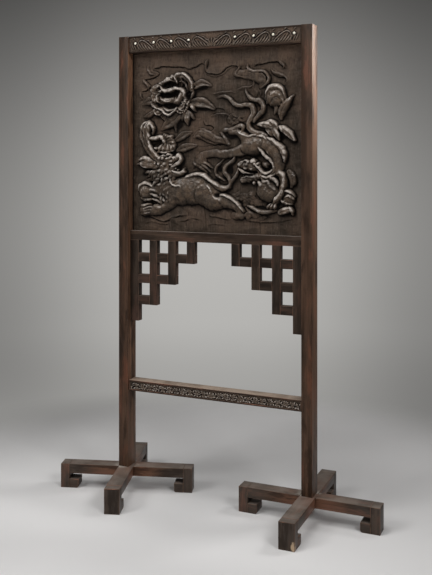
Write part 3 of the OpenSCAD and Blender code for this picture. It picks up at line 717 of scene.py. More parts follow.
CLOUD_EDGES = [
    (4.4, 30, [(-248, 591), (-200, 593), (-145, 592), (-120, 587), (-96, 581), (-72, 588), (-50, 597),
     (-34, 590)]),
    (5.0, 26, [(-36, 580), (-28, 565), (8, 557), (30, 564), (45, 579), (62, 587), (80, 585), (94, 573)]),
    (2.0, 12, [(-34, 568), (-24, 555), (8, 549), (34, 556), (50, 571), (64, 579), (80, 577)]),
    (4.6, 16, [(-284, 548), (-262, 553), (-236, 560), (-220, 571), (-240, 581), (-256, 592)]),
    (4.4, 14, [(-296, 506), (-272, 511), (-257, 524), (-268, 537), (-280, 550)]),
    (3.0, 10, [(-304, 476), (-290, 482), (-298, 500)]),
    (4.8, 28, [(146, 580), (160, 586), (190, 589), (215, 593), (240, 593), (252, 580), (264, 572)]),
    (4.6, 22, [(212, 570), (220, 553), (240, 542), (260, 539), (270, 528), (262, 512)]),
    (4.4, 18, [(68, 418), (74, 406), (95, 402), (114, 405)]),
    (3.6, 12, [(80, 420), (60, 413), (48, 400), (52, 388), (68, 381)]),
    (4.4, 16, [(-46, 398), (-38, 382), (-16, 379), (-4, 370), (-10, 360), (-28, 360)]),
    (3.4, 16, [(78, 490), (40, 493), (0, 492)]), (3.4, 16, [(44, 415), (15, 418), (-16, 414)]),
    (3.2, 14, [(136, 509), (105, 506), (78, 502)]), (4.0, 18, [(-4, 437), (20, 439), (36, 434), (40, 420)]),
    (4.6, 20, [(-80, 344), (-62, 332), (-42, 327), (-22, 318), (5, 312), (30, 316)]),
    (2.6, 14, [(40, 310), (0, 306), (-40, 304), (-62, 300)]), (2.6, 12, [(-90, 220), (-76, 236), (-80, 262)]),
]
ROCK_EDGES = [
    (6.0, 20, [(-268, 54), (-238, 44), (-215, 37), (-190, 38), (-170, 48), (-145, 56), (-100, 60)]),
    (3.6, 16, [(-150, 34), (-118, 40), (-90, 46), (-55, 48)]),
    (3.6, 14, [(-24, 60), (10, 57), (40, 48), (70, 50)]),
    (4.4, 14, [(62, 64), (76, 52), (100, 49), (112, 56)]),
    (3.4, 14, [(120, 48), (150, 44), (190, 42), (236, 48)]),
    (3.0, 14, [(240, 44), (262, 52), (296, 54)]),
    (2.6, 12, [(-282, 28), (-250, 32), (-215, 24), (-180, 28)]),
    (2.2, 10, [(-30, 24), (0, 30), (40, 26)]),
]
SWELLS = [
    [(-166, 88, 12, 3), (-126, 68, 15, 3.5), (-80, 40, 9, 1)],
    [(-112, 88, 10, 3), (-80, 66, 13, 3), (-44, 44, 8, 1)],
    [(-200, 64, 11, 2), (-164, 44, 13, 3), (-122, 26, 8, 1)],
    [(-236, 56, 10, 3), (-204, 46, 13, 4), (-172, 62, 8, 2)],
    [(16, 86, 10, 2), (44, 64, 13, 3), (68, 42, 8, 1)], [(206, 72, 10, 2), (240, 60, 14, 3), (280, 62, 9, 2)],
    [(-300, 40, 9, 2), (-270, 42, 12, 3), (-236, 32, 8, 1)],
    [(112, 120, 10, 3), (150, 110, 13, 4), (192, 102, 9, 2)],
]
for drop, reach, rows in CLOUD_EDGES + ROCK_EDGES:
    ledge(panel, rows, drop, reach)
strokes(panel, SWELLS, crown=1.6, strands=4, cut=0.5, melt=3, base=-1.5)
strokes(panel, [
    [(-28, 606, 2, 4), (-29, 592, 4, 6), (-33, 574, 3, 5)],
    [(-262, 592, 2, 3), (-260, 582, 3, 5), (-256, 572, 2, 3)],
    [(248, 590, 2, 4), (254, 580, 3, 6), (264, 573, 3, 4)],
    [(222, 568, 2, 4), (232, 558, 4, 6), (240, 550, 3, 4)],
    [(146, 532, 3, 4), (147, 520, 4, 5), (146, 506, 3, 3)],
    [(158, 496, 2, 3), (161, 486, 3, 5), (158, 476, 2, 3)],
    [(170, 494, 2, 3), (173, 484, 3, 5), (170, 474, 2, 3)],
    [(78, 392, 3, 3), (92, 398, 5, 5), (110, 392, 3, 3)], [(60, 396, 3, 3), (74, 388, 4, 4), (90, 384, 3, 3)],
])
print("ground:", panel.h.shape, "places,", round(float(panel.h.min()), 1), "to",
      round(float(panel.h.max()), 1), "mm")

# %% [markdown]
# ## Cloud scrolls and ribbons
# Two thick ribbons wind down from a cloud to the upper lion. They are flat-topped bands, so their section
# is squarer than a limb's. The big cloud above them is a broad flat hook with a narrow ribbon on its rim.

# %% Scrolls
RIBBONS = [
    [(93, 578, 3, 5), (84, 567, 4.5, 10), (81, 555, 4.5, 10), (90, 547, 4, 8), (112, 543, 3, 6),
     (136, 536, 2, 4)], [(-268, 600, 2, 4), (-263, 586, 4.5, 10), (-254, 573, 4, 10), (-238, 568, 2, 5)],
    [(-288, 552, 2, 4), (-279, 540, 4.5, 10), (-266, 526, 4.5, 10), (-262, 512, 2, 5)],
    [(-300, 505, 2, 4), (-296, 492, 4, 8), (-290, 480, 2, 4)],
    [(-24, 612, 2, 4), (-29, 598, 5, 11), (-31, 582, 4, 10), (-26, 568, 2.5, 6)],
    [(240, 600, 2, 4), (250, 591, 5, 10), (260, 578, 4, 9), (256, 568, 2, 5)],
    [(214, 566, 2, 5), (226, 556, 4, 9), (246, 548, 4, 9), (266, 540, 4, 8), (272, 526, 3, 7),
     (262, 512, 2, 4)], [(-12, 410, 2, 4), (10, 416, 3.5, 8), (40, 417, 3, 7), (58, 408, 2, 4)],
    [(-4, 491, 2, 4), (20, 494, 3, 7), (56, 494, 3, 7), (78, 490, 2, 4)],
    [(84, 504, 2, 4), (108, 508, 3.5, 8), (134, 510, 3, 8), (150, 520, 2, 5)],
    [(-60, 366, 2, 4), (-40, 366, 3.5, 9), (-24, 360, 3, 8), (-8, 354, 2, 4)],
    [(164, 555, 2, 9), (180, 552, 3.5, 11), (192, 541, 3.5, 11), (194, 530, 2, 9)],
    [(-70, 339, 3, 10), (-58, 340, 4, 11), (-48, 334, 2, 9)],
    [(-52, 363, 2, 7), (-34, 362, 3.5, 10), (-16, 354, 3.5, 10), (0, 342, 2, 9)],
]
strokes(panel, RIBBONS)
strokes(panel, [
    [(82, 557, 12, 6), (110, 556, 15, 7), (142, 552, 19, 8), (166, 543, 20, 9), (182, 526, 16, 8),
     (176, 508, 8, 5)],
], crown=5)
strokes(panel, [
    [(124, 588, 3, 4), (127, 576, 5, 8), (138, 567, 6, 11), (164, 564, 6, 12), (190, 558, 6, 13),
     (204, 543, 6, 13), (203, 527, 5, 12), (190, 512, 4, 10), (174, 502, 3, 6)],
], crown=3)
strokes(panel, [
    [(8, 477, 4, 4), (30, 480, 6, 9), (48, 477, 7, 12), (64, 466, 8, 14), (80, 452, 8, 14),
     (98, 445, 8, 14), (124, 449, 8, 14), (144, 441, 9, 16), (151, 420, 10, 17), (143, 402, 11, 16),
     (131, 386, 10, 15), (135, 366, 10, 15), (154, 350, 10, 16), (180, 345, 9, 17), (202, 338, 6, 16)],
    [(117, 503, 2.5, 7), (120, 488, 5, 10), (132, 472, 7, 13), (150, 464, 8, 14), (170, 460, 9, 15),
     (183, 446, 9, 15), (183, 428, 9, 15), (172, 412, 9, 14), (158, 398, 8, 14), (150, 388, 5, 12)],
], crown=2.6, strands=2)
strokes(panel, [
    [(26, 352, 4, 5), (40, 361, 8, 9), (62, 363, 9, 12), (82, 371, 9, 14), (99, 376, 9, 16),
     (111, 369, 8, 16), (107, 358, 5, 13)],
], crown=2.5, strands=3)
strokes(panel, [
    [(-76, 338, 6, 5), (-58, 350, 12, 8), (-38, 350, 14, 9), (-16, 342, 14, 9), (4, 332, 13, 9),
     (26, 326, 11, 8), (48, 318, 7, 7)],
], crown=4, strands=2, cut=0.9)
strokes(panel, [[(22, 352, 3, 7), (34, 342, 6, 10), (46, 328, 7, 11), (54, 314, 6, 9)]], strands=2)
groove(panel, [(168, 560), (186, 555), (198, 543), (198, 530)], 1.8, 5)
groove(panel, [(84, 550), (112, 549), (136, 544)], 2.0, 1.5)
for x, z in ((64, 391), (76, 399), (88, 390), (98, 383), (56, 399), (70, 384)):
    boss(panel, x, z, 6, 4, 6.5, spiral=1.0, cut=1.5)

# %% [markdown]
# ## Leaves and the peony
# A peony's petals are bowls with ruffled rims, one standing inside another, so that light catches the rims
# and the hearts stay dark. Each is a fan of rays from a root to a rim, and each covers the ones outside it.
# The leaves are hollowed or rounded, with a fine groove for the midrib.

# %% Petals and leaves
def pit(sheet, x, z, rx, rz, depth):
    """A soft-edged hollow, darkened with old soot and painted shade: the depth times e to the minus fourth
    power of the distance in half sizes."""
    part = sheet.window(x - 2 * rx, x + 2 * rx, z - 2 * rz, z + 2 * rz)
    bell = np.exp(-(sheet.spread(x, z, rx, rz)[part] ** 2))
    sheet.h[part] = np.maximum(sheet.h[part] - depth * bell, np.minimum(sheet.h[part], 1.0))
    sheet.soot_and_shade[part] = np.maximum(sheet.soot_and_shade[part], min(depth / 14, 1.1) * bell)


def pits(sheet, places):
    """One pit for each place."""
    for place in places:
        pit(sheet, *place)


def fan(sheet, root, rim, floor, rise, power=2.5, flutes=0, flute=1.2):
    """A cupped petal: rays from its root to its rim. Along a ray the height goes from floor to rise as the
    share of the way to that power, low for long and then steeply up to the rim, and the flutes wave it
    across. Past the rim and the two sides it rounds down over the lip. It covers what lies under it."""
    path = spline(rim)
    angle = np.unwrap(np.arctan2(path[:, 1] - root[1], path[:, 0] - root[0]))
    far = np.hypot(path[:, 0] - root[0], path[:, 1] - root[1])
    order = np.argsort(angle)
    first, last, between = angle.min(), angle.max(), (angle.min() + angle.max()) / 2
    reach = far.max() + LIP
    part = sheet.window(root[0] - reach, root[0] + reach, root[1] - reach, root[1] + reach)
    a, b = sheet.x[part] - root[0], sheet.z[part] - root[1]
    theta = between + (np.arctan2(b, a) - between + np.pi) % (2 * np.pi) - np.pi
    r, edge = np.hypot(a, b), np.interp(theta, angle[order], far[order])
    aside = np.maximum(np.maximum(first - theta, theta - last), 0) * r
    out = np.hypot(np.maximum(r - edge, 0), aside) / LIP
    u = np.clip(r / edge, 0, 1)
    wave = flute * u**2 * np.cos(2 * np.pi * flutes * (theta - first) / (last - first))
    value = (floor + (rise - floor) * u**power + wave) * np.sqrt(np.clip(1 - out**2, 0, 1))
    old = sheet.h[part]
    sheet.h[part] = np.where(out == 0, value, np.where(out < 1, np.maximum(old, value), old))


def leaf(sheet, cup, rows):
    """A leaf is a stroke whose middle lies lower than its rims by the share cup, or higher where cup is
    negative. A groove runs down the midrib, and faint slanting veins cut each half."""
    part, q, arc, side, rise = sheet.near(spline(rows))
    value = rise * (1 - cup * np.clip(1 - q**2, 0, 1)) * np.clip(1 - q**5, 0, 1) ** 0.5
    value -= 1.6 * np.exp(-((side / 0.12) ** 2)) * np.clip(1.15 - q, 0, 1)
    value -= 0.45 * ridges(arc / VEINS - 1.1 * np.abs(side)) ** 2 * (q < 0.85)
    sheet.raise_to(part, value, q < 1)


LIP, VEINS = 4.0, 9.0       # mm, the rounding of a petal's rim and the distance of a leaf's veins

# %% Leaves
LEAVES = [
    (0.5, [(-96, 504, 4, 10), (-70, 520, 12, 17), (-42, 528, 13, 18), (-14, 519, 4, 12)]),
    (0.5, [(-92, 462, 6, 10), (-64, 461, 18, 18), (-34, 455, 16, 20), (-4, 437, 6, 16)]),
    (-0.3, [(-112, 432, 5, 9), (-120, 412, 8, 12), (-128, 396, 3, 7)]),
    (-0.3, [(-100, 430, 6, 11), (-105, 407, 13, 15), (-104, 382, 4, 9)]),
    (-0.3, [(-96, 430, 4, 9), (-88, 414, 6, 11), (-82, 402, 3, 7)]),
    (-0.3, [(-90, 454, 5, 10), (-80, 441, 7, 15), (-73, 429, 3, 9)]),
    (0.3, [(-130, 430, 6, 9), (-150, 404, 16, 14), (-178, 388, 17, 13), (-209, 367, 5, 8)]),
    (-0.2, [(-120, 424, 4, 8), (-134, 410, 8, 10), (-150, 392, 7, 9), (-152, 362, 3, 6)]),
    (0.4, [(-236, 482, 4, 9), (-258, 472, 13, 12), (-286, 460, 4, 7)]),
    (-0.2, [(-232, 440, 4, 6), (-252, 424, 11, 7), (-276, 414, 4, 5)]),
    (0.35, [(-158, 322, 4, 7), (-134, 336, 14, 11), (-110, 350, 11, 11), (-88, 356, 3, 8)]),
    (0.35, [(-146, 288, 4, 7), (-120, 298, 15, 12), (-94, 304, 12, 12), (-68, 309, 3, 10)]),
    (-0.25, [(250, 394, 4, 8), (256, 428, 17, 12), (272, 454, 11, 13), (296, 475, 3, 9)]),
    (-0.2, [(226, 412, 4, 7), (234, 428, 9, 10), (226, 448, 4, 8)]),
    (-0.25, [(196, 386, 4, 12), (214, 386, 9, 18), (230, 376, 9, 19), (242, 360, 3, 14)]),
    (-0.25, [(166, 377, 4, 13), (188, 378, 11, 19), (212, 372, 13, 21), (238, 360, 5, 16)]),
    (-0.25, [(194, 366, 4, 13), (212, 354, 11, 20), (224, 338, 6, 15)]),
    (-0.25, [(214, 372, 5, 14), (230, 356, 12, 21), (239, 340, 10, 20), (242, 328, 4, 14)]),
    (-0.25, [(246, 368, 5, 14), (262, 361, 13, 20), (280, 345, 14, 22), (298, 324, 6, 15)]),
    (-0.1, [(278, 216, 10, 9), (288, 202, 14, 12), (292, 182, 11, 10), (286, 164, 5, 7)]),
]
for cup, rows in LEAVES:
    leaf(panel, cup, rows)
groove(panel, [(212, 384), (224, 372), (230, 352)], 1.5, 3)
groove(panel, [(182, 378), (204, 376), (226, 366)], 1.5, 2)

# %% Peony
peony = panel.blank()
PETALS = [
    ((-178, 452), [(-218, 428), (-206, 410), (-186, 400), (-164, 402), (-148, 414),
     (-138, 432)], 13, 9, 1, 6, 1.4),
    ((-140, 498), [(-154, 546), (-142, 563), (-120, 563), (-100, 553), (-88, 537), (-80, 516),
     (-84, 500)], 2, 22, 3.0, 9, 1.2),
    ((-172, 500), [(-222, 524), (-210, 537), (-196, 543), (-184, 552), (-172, 550), (-162, 559),
     (-150, 550), (-142, 536)], 3, 20, 3.5, 4, 1.8),
    ((-196, 500), [(-214, 532), (-232, 528), (-245, 516), (-244, 502), (-234, 496)], 5, 16, 2, 2, 1.2),
    ((-196, 486), [(-238, 500), (-244, 486), (-238, 470), (-222, 462)], 5, 16, 2, 2, 1.2),
    ((-186, 474), [(-248, 470), (-244, 454), (-232, 445), (-218, 442)], 3, 16, 3, 2, 1.2),
    ((-190, 462), [(-238, 438), (-228, 422), (-214, 420), (-204, 428)], 5, 17, 2.5, 1, 1.0),
    ((-124, 482), [(-80, 512), (-78, 496), (-86, 480), (-96, 468), (-98, 456)], 3, 15, 3.5, 2, 1.4),
    ((-136, 466), [(-146, 434), (-134, 424), (-120, 428), (-108, 434), (-100, 446),
     (-96, 462)], 4, 16, 2.5, 4, 2.2),
    ((-178, 466), [(-218, 444), (-204, 436), (-192, 427), (-178, 419), (-164, 421), (-153, 431),
     (-145, 446)], 2, 22, 4, 3, 1.2),
    ((-150, 470), [(-130, 440), (-118, 446), (-110, 458), (-104, 474), (-110, 484)], 8, 19, 2.5, 4, 2.2),
    ((-176, 482), [(-210, 474), (-202, 458), (-184, 449), (-166, 450), (-150, 458),
     (-146, 468)], 20, 12, 1, 6, 1.6),
    ((-166, 486), [(-210, 504), (-192, 510), (-172, 510), (-155, 513), (-138, 515), (-122, 509),
     (-110, 496), (-110, 482)], 3, 25, 3.5, 5, 1.0),
]
for root, rim, floor, rise, power, flutes, flute in PETALS:
    fan(peony, root, rim, floor, rise, power, 2 * flutes, 1.15 * flute)
strokes(peony, [
    [(-136, 560, 3, 19), (-120, 563, 5.5, 25), (-104, 556, 6, 25), (-91, 541, 4.5, 23), (-82, 520, 3, 19)],
    [(-92, 498, 2.5, 14), (-84, 505, 3.5, 19), (-77, 499, 3, 16)],
    [(-82, 498, 2.5, 14), (-86, 486, 3.5, 18), (-92, 474, 2.5, 14)],
    [(-208, 481, 3, 19), (-196, 471, 5, 23), (-180, 467, 4.5, 22), (-166, 470, 3, 19)],
    [(-207, 440, 3, 18), (-192, 429, 4.5, 22), (-178, 420, 5.5, 24), (-164, 424, 5, 23),
     (-154, 433, 4, 20), (-146, 444, 3, 17)], [(-246, 467, 3, 13), (-238, 453, 4, 18), (-225, 443, 4, 19)],
    [(-118, 452, 3, 17), (-110, 466, 4, 20), (-103, 457, 4, 19)],
])
stroke(peony, [(-118, 498, 9, 23), (-120, 486, 13, 24), (-132, 470, 14, 22), (-150, 462, 9, 18)], bands=4.6,
       cut=2.4)
stroke(peony, [(-208, 522, 4, 18), (-198, 509, 6.5, 23), (-180, 503, 7.5, 25), (-160, 506, 7, 24),
               (-142, 510, 7, 25), (-126, 508, 9, 25), (-114, 498, 8, 24), (-110, 484, 5, 20)], bands=9,
       cut=1.0)
strokes(peony, [
    [(-198, 534, 2, 10), (-178, 525, 3.5, 14), (-156, 531, 2, 11)],
    [(-128, 557, 3, 17), (-123, 538, 4, 13), (-127, 520, 2, 8)],
    [(-112, 551, 3, 18), (-108, 532, 4, 13), (-115, 514, 2, 8)],
    [(-98, 538, 3, 17), (-99, 522, 4, 12), (-106, 506, 2, 8)],
    [(-204, 460, 2, 11), (-186, 450, 3.5, 14), (-168, 452, 2, 10)],
    [(-162, 444, 2, 10), (-148, 451, 3.5, 13), (-136, 462, 2, 10)],
    [(-196, 493, 2, 9), (-176, 488, 3, 12), (-158, 491, 2, 9)],
], strands=2)
strokes(peony, [
    [(-207, 528, 2, 12), (-192, 541, 4, 19), (-170, 544, 4, 20), (-151, 536, 3, 15)],
    [(-198, 516, 2, 9), (-180, 521, 3.5, 14), (-160, 520, 3.5, 14), (-146, 514, 2, 10)],
    [(-140, 553, 2.5, 14), (-120, 553, 4, 20), (-104, 542, 4, 20), (-94, 522, 3, 15)],
    [(-134, 540, 2.5, 12), (-118, 539, 4, 18), (-108, 526, 4, 18), (-104, 508, 3, 13)],
    [(-212, 498, 2.5, 14), (-223, 487, 4.5, 19), (-222, 470, 4.5, 19), (-208, 460, 2.5, 14)],
    [(-232, 510, 2.5, 14), (-220, 523, 4.5, 19), (-206, 522, 3, 16)],
    [(-206, 453, 2.5, 14), (-188, 439, 4.5, 20), (-170, 434, 4.5, 20), (-151, 446, 3, 16)],
    [(-198, 462, 2, 13), (-180, 455, 3.5, 18), (-160, 457, 3.5, 18), (-144, 468, 2, 13)],
    [(-102, 492, 2.5, 13), (-94, 477, 4, 18), (-99, 460, 3, 15)],
    [(-142, 449, 2.5, 14), (-130, 436, 4, 20), (-116, 436, 3, 17)],
    [(-126, 470, 2.5, 15), (-116, 456, 4, 20), (-118, 444, 3, 16)],
], bands=7, cut=0.9)
for k in range(6):
    x = -188 + 9 * k
    stroke(peony, [(x, 482, 1.5, 11), (x + 4, 474, 2.6, 18), (x + 3, 465, 1.5, 15)])
bosses(peony, [
    (-182, 548, 11, 9, 22), (-162, 553, 9, 8, 22), (-204, 532, 8, 7, 20), (-192, 540, 7, 7, 20),
    (-232, 520, 13, 11, 17), (-228, 475, 13, 12, 19), (-221, 431, 10, 8, 20), (-240, 506, 9, 8, 15),
    (-112, 464, 7, 4, 21), (-99, 456, 6, 4, 20), (-124, 455, 7, 4, 19), (-132, 440, 8, 5, 17),
], turn=35, spiral=0.5, cut=1.6)
pits(peony, [
    (-173, 528, 27, 11, 20), (-178, 489, 29, 9, 22), (-172, 452, 32, 9, 14), (-97, 486, 9, 17, 14),
    (-83, 458, 7, 13, 10), (-112, 532, 15, 18, 3), (-214, 454, 10, 7, 10),
])
# inside the hollows the petals are fluted, in rays from the flower's heart at -168, 484
rays = np.sin(26 * np.arctan2(peony.z - 484, peony.x + 168))
peony.h += 1.4 * rays * np.clip(peony.soot_and_shade, 0, 1)
peony.soot_and_shade *= 0.82 + 0.22 * rays

# %% Bud and half-open flower
boss(peony, 230, 472, 38, 37, 22, crown=2.4)
strokes(peony, [
    [(192, 462, 3, 12), (199, 486, 8, 19), (218, 503, 13, 23.5), (242, 504, 13, 24), (260, 488, 8, 20),
     (267, 464, 3, 13)],
    [(198, 450, 3, 12), (208, 470, 8, 20), (226, 482, 10, 23), (246, 476, 9, 22), (257, 458, 6, 18),
     (258, 444, 3, 13)], [(212, 440, 3, 13), (224, 454, 8, 20), (240, 456, 8, 21), (250, 440, 3, 13)],
], bands=8, cut=0.7, melt=3)
groove(peony, [(206, 462), (212, 480), (226, 492), (250, 488)], 1.6, 1.6)
groove(peony, [(214, 448), (224, 464), (240, 468), (252, 456)], 1.8, 2)

SMALL_PETALS = [
    ((-208, 320), [(-196, 348), (-180, 344), (-164, 332), (-154, 314), (-152, 298),
     (-160, 287)], 8, 15, 1.2, 6, 3.0),
    ((-224, 318), [(-256, 318), (-254, 330), (-244, 338), (-226, 342), (-208, 342)], 2, 16, 2.0, 2, 1.2),
]
for root, rim, floor, rise, power, flutes, flute in SMALL_PETALS:
    fan(peony, root, rim, floor, rise, power, flutes, flute)
boss(peony, -190, 297, 36, 15, 18, turn=-8, melt=3)
for x, lean, wide in ((-213, 10, 8), (-197, 4, 9), (-180, -3, 9), (-166, -8, 7)):
    stroke(peony, [(x + lean, 313, 4, 15), (x + 3, 299, wide, 20.5), (x - 3, 285, 5, 16)], strands=2, cut=0.8,
           melt=3)
pit(peony, -230, 309, 13, 6, 8)
boss(peony, -226, 297, 11, 6, 20, turn=-20)
stroke(peony, [(-257, 331, 5, 15), (-246, 335, 9, 23), (-228, 334, 10, 25), (-211, 337, 10, 25),
               (-199, 331, 9, 24), (-192, 316, 7, 21), (-188, 300, 5, 18)], bands=13, cut=3.2)
stroke(peony, [(-222, 284, 4, 14), (-200, 282, 5, 20), (-180, 283, 5, 20), (-160, 290, 4, 15)], bands=9,
       cut=1.6)
boss(peony, -168, 340, 10, 9, 18)
panel.merge(peony)
print("three flowers, with", len(PETALS) + len(SMALL_PETALS), "cupped petals, and", len(LEAVES), "leaves")

# %% [markdown]
# ## The lions
# A lion is built as a carver roughs it out: big rounded masses first, melted into each other, then the
# limbs, then the head with its open jaws, and last the mane's locks, the tufts and the cuts between them.
# Each lion is carved on a sheet of its own, so its masses melt together but stand clear of what is behind.

# %% Mane
def mane(sheet, x, z, rx, rz, pitch, height, seed, lean=-120):
    """Flame-shaped locks of hair over an ellipse: one in each cell of a staggered grid, a little off its spot
    at random. Each bends as it runs about along the lean in degrees, and they lie lower towards the edge."""
    rng = np.random.default_rng(seed)
    for i, a in enumerate(np.arange(-rx, rx, 0.87 * pitch)):
        for b in np.arange(-rz, rz, pitch) + (i % 2) * pitch / 2:
            px, pz = x + a + pitch * rng.uniform(-0.25, 0.25), z + b + pitch * rng.uniform(-0.25, 0.25)
            turn, bend = math.radians(lean + rng.uniform(-35, 35)), 0.5 * rng.uniform(-1, 1)
            size = pitch * rng.uniform(0.9, 1.3)
            q = math.hypot((px - x) / rx, (pz - z) / rz)
            if q < 1:
                dx, dz, top = size * math.cos(turn), size * math.sin(turn), height * (1 - 0.2 * q * q)
                root = (px - 0.7 * dx, pz - 0.7 * dz, 0.22 * size, top - 4)
                tip = (px + 0.8 * dx - bend * dz, pz + 0.8 * dz + bend * dx, 0.2 * size, top - 5)
                stroke(sheet, [root, (px, pz, 0.46 * size, top), tip], strands=2, cut=1.3)

# %% Lower lion
low = panel.blank()
strokes(low, [
    [(-205, 150, 36, 16), (-150, 144, 48, 20), (-95, 150, 54, 22), (-50, 152, 52, 22), (-12, 124, 46, 20)],
    [(-5, 112, 38, 20), (30, 112, 24, 17), (62, 106, 19, 16), (90, 90, 16, 15), (98, 74, 14, 13)],
    [(-195, 152, 32, 17), (-235, 148, 24, 15), (-268, 142, 28, 18)],
    [(-165, 112, 26, 16), (-200, 86, 21, 15), (-240, 74, 20, 15), (-266, 74, 22, 16)],
], melt=9)
boss(low, 96, 64, 22, 15, 13, turn=-20, melt=3)
boss(low, -274, 142, 25, 33, 22, melt=4)
boss(low, -274, 74, 25, 24, 18, melt=4)
for z, end in ((94, -252), (84, -246), (73, -246), (63, -254)):
    stroke(low, [(-290, z - 3, 5, 13), (-274, z, 6, 20), (end, z + 1, 4, 18)], melt=2)
stroke(low, [(-238, 88, 8, 14), (-214, 84, 10, 18), (-194, 92, 9, 17)], melt=3)
stroke(low, [(-298, 146, 4, 15), (-291, 164, 6, 21), (-272, 173, 8, 23), (-250, 169, 7, 22),
             (-238, 156, 4, 17)])
stroke(low, [(-290, 118, 5, 14), (-270, 112, 7, 18), (-248, 114, 5, 15)], melt=2)
strokes(low, [
    [(-254, 149, 5, 18), (-236, 147, 8, 23), (-214, 137, 3, 17)],
    [(-250, 133, 5, 18), (-230, 128, 8, 22), (-208, 116, 3, 16)],
    [(-240, 115, 5, 17), (-224, 110, 7, 20), (-202, 99, 3, 15)],
], cut=1.2, strands=2)
groove(low, [(-66, 104), (-70, 122), (-68, 140), (-60, 154)], 3.5, 3)
groove(low, [(-44, 96), (-38, 84), (-40, 70)], 3, 4)
groove(low, [(30, 96), (18, 112), (20, 130)], 3, 2.5)
groove(low, [(-66, 156), (-52, 172), (-30, 176)], 3.5, 1.8)
stroke(low, [(-112, 194, 5, 17), (-94, 201, 8, 20), (-68, 205, 9, 22), (-40, 203, 10, 24), (-14, 189, 9, 24),
            (12, 170, 8, 21), (30, 160, 5, 16)], bands=14, cut=0.8, melt=2)
stroke(low, [(-30, 172, 4, 18), (-14, 160, 6, 22), (-3, 144, 6, 22), (4, 128, 6, 21), (18, 119, 4, 17)],
       melt=3)
stroke(low, [(22, 132, 5, 16), (38, 136, 7, 21), (56, 128, 7, 22), (76, 117, 7, 22), (93, 103, 7, 21),
             (104, 88, 6, 19), (112, 78, 4, 15)], bands=9, cut=1.2, melt=2)
pit(low, 16, 134, 9, 8, 10)
stroke(low, [(-170, 194, 4, 21), (-163, 174, 5, 25), (-148, 165, 5, 26), (-130, 165, 5, 25),
             (-112, 147, 2.5, 21)], strands=2)
strokes(low, [
    [(-20, 188, 5, 14), (0, 172, 8, 17), (22, 160, 10, 17), (44, 157, 9, 16), (60, 170, 8, 15),
     (55, 194, 7, 14), (42, 216, 8, 15), (44, 234, 8, 15), (60, 248, 7, 14), (75, 260, 6, 12),
     (80, 278, 3, 7)],
    [(40, 186, 5, 11), (22, 198, 6, 12), (9, 212, 5, 12), (10, 232, 5, 12), (24, 248, 4, 10),
     (34, 262, 3, 6)],
    [(58, 172, 7, 12), (72, 190, 7, 13), (86, 212, 6, 12), (97, 236, 4, 9), (104, 252, 2.5, 6)],
], strands=2)

# %% Lower lion's head
boss(low, -192, 234, 38, 33, 17, melt=5)
stroke(low, [(-182, 252, 20, 18), (-156, 257, 15, 19.5), (-142, 262, 11, 21)], melt=4)
boss(low, -136, 269, 12, 13, 25, melt=1)
pit(low, -130, 262, 3, 2.5, 4)
boss(low, -160, 226, 16, 13, 19.5, turn=20, melt=3)
stroke(low, [(-136, 278, 4, 20), (-126, 264, 7, 25), (-131, 250, 8, 25), (-145, 240, 8, 24),
             (-157, 230, 6, 22)], strands=2, cut=1.0)
stroke(low, [(-176, 212, 17, 17), (-152, 204, 13, 19), (-130, 207, 9, 20.5), (-114, 216, 7, 21.5)], melt=3)
pit(low, -127, 229, 13, 6, 16)
stroke(low, [(-162, 218, 4, 20), (-148, 213, 5, 24), (-132, 212, 5, 25), (-118, 219, 6, 25),
             (-113, 228, 3, 21)], bands=9, cut=0.8)
for x, z in ((-146, 226), (-138, 220)):
    boss(low, x, z, 3.4, 4.4, 21)
for x, z in ((-164, 252), (-192, 242)):
    boss(low, x, z, 10, 7.5, 23.6)
    boss(low, x + 1, z - 1, 4.6, 4.2, 24.6)
    groove(low, [(x - 10, z - 6), (x, z - 9), (x + 10, z - 6)], 1.8, 3)
    groove(low, [(x - 10, z + 6), (x, z + 9), (x + 10, z + 6)], 1.6, 2)
groove(low, [(-178, 246), (-172, 238), (-176, 228)], 1.8, 3)
groove(low, [(-152, 256), (-146, 262), (-148, 270)], 1.6, 2)
bosses(low, [
    (-212, 262, 9, 6, 22), (-196, 262, 9, 7, 25), (-180, 262, 8, 5, 23), (-166, 266, 9, 7, 26),
    (-154, 262, 7, 8, 24), (-232, 246, 9, 8, 20), (-216, 244, 8, 7, 22), (-184, 222, 9, 7, 21),
    (-160, 232, 7, 8, 22),
], turn=25, crown=3, spiral=0.6, cut=1.8)
strokes(low, [
    [(-206, 268, 3, 18), (-194, 272, 5, 23), (-180, 269, 3, 18)],
    [(-184, 272, 3, 18), (-172, 277, 5, 23.5), (-160, 273, 3, 19)],
    [(-176, 240, 3, 17), (-166, 238, 5, 22), (-156, 244, 3, 19)],
    [(-176, 222, 3, 17), (-166, 215, 5, 21), (-152, 220, 3, 19)],
    [(-200, 226, 3, 16), (-190, 220, 5, 21), (-178, 212, 3, 17)],
    [(-212, 232, 3, 16), (-204, 238, 5, 21), (-196, 232, 3, 17)],
], strands=2)

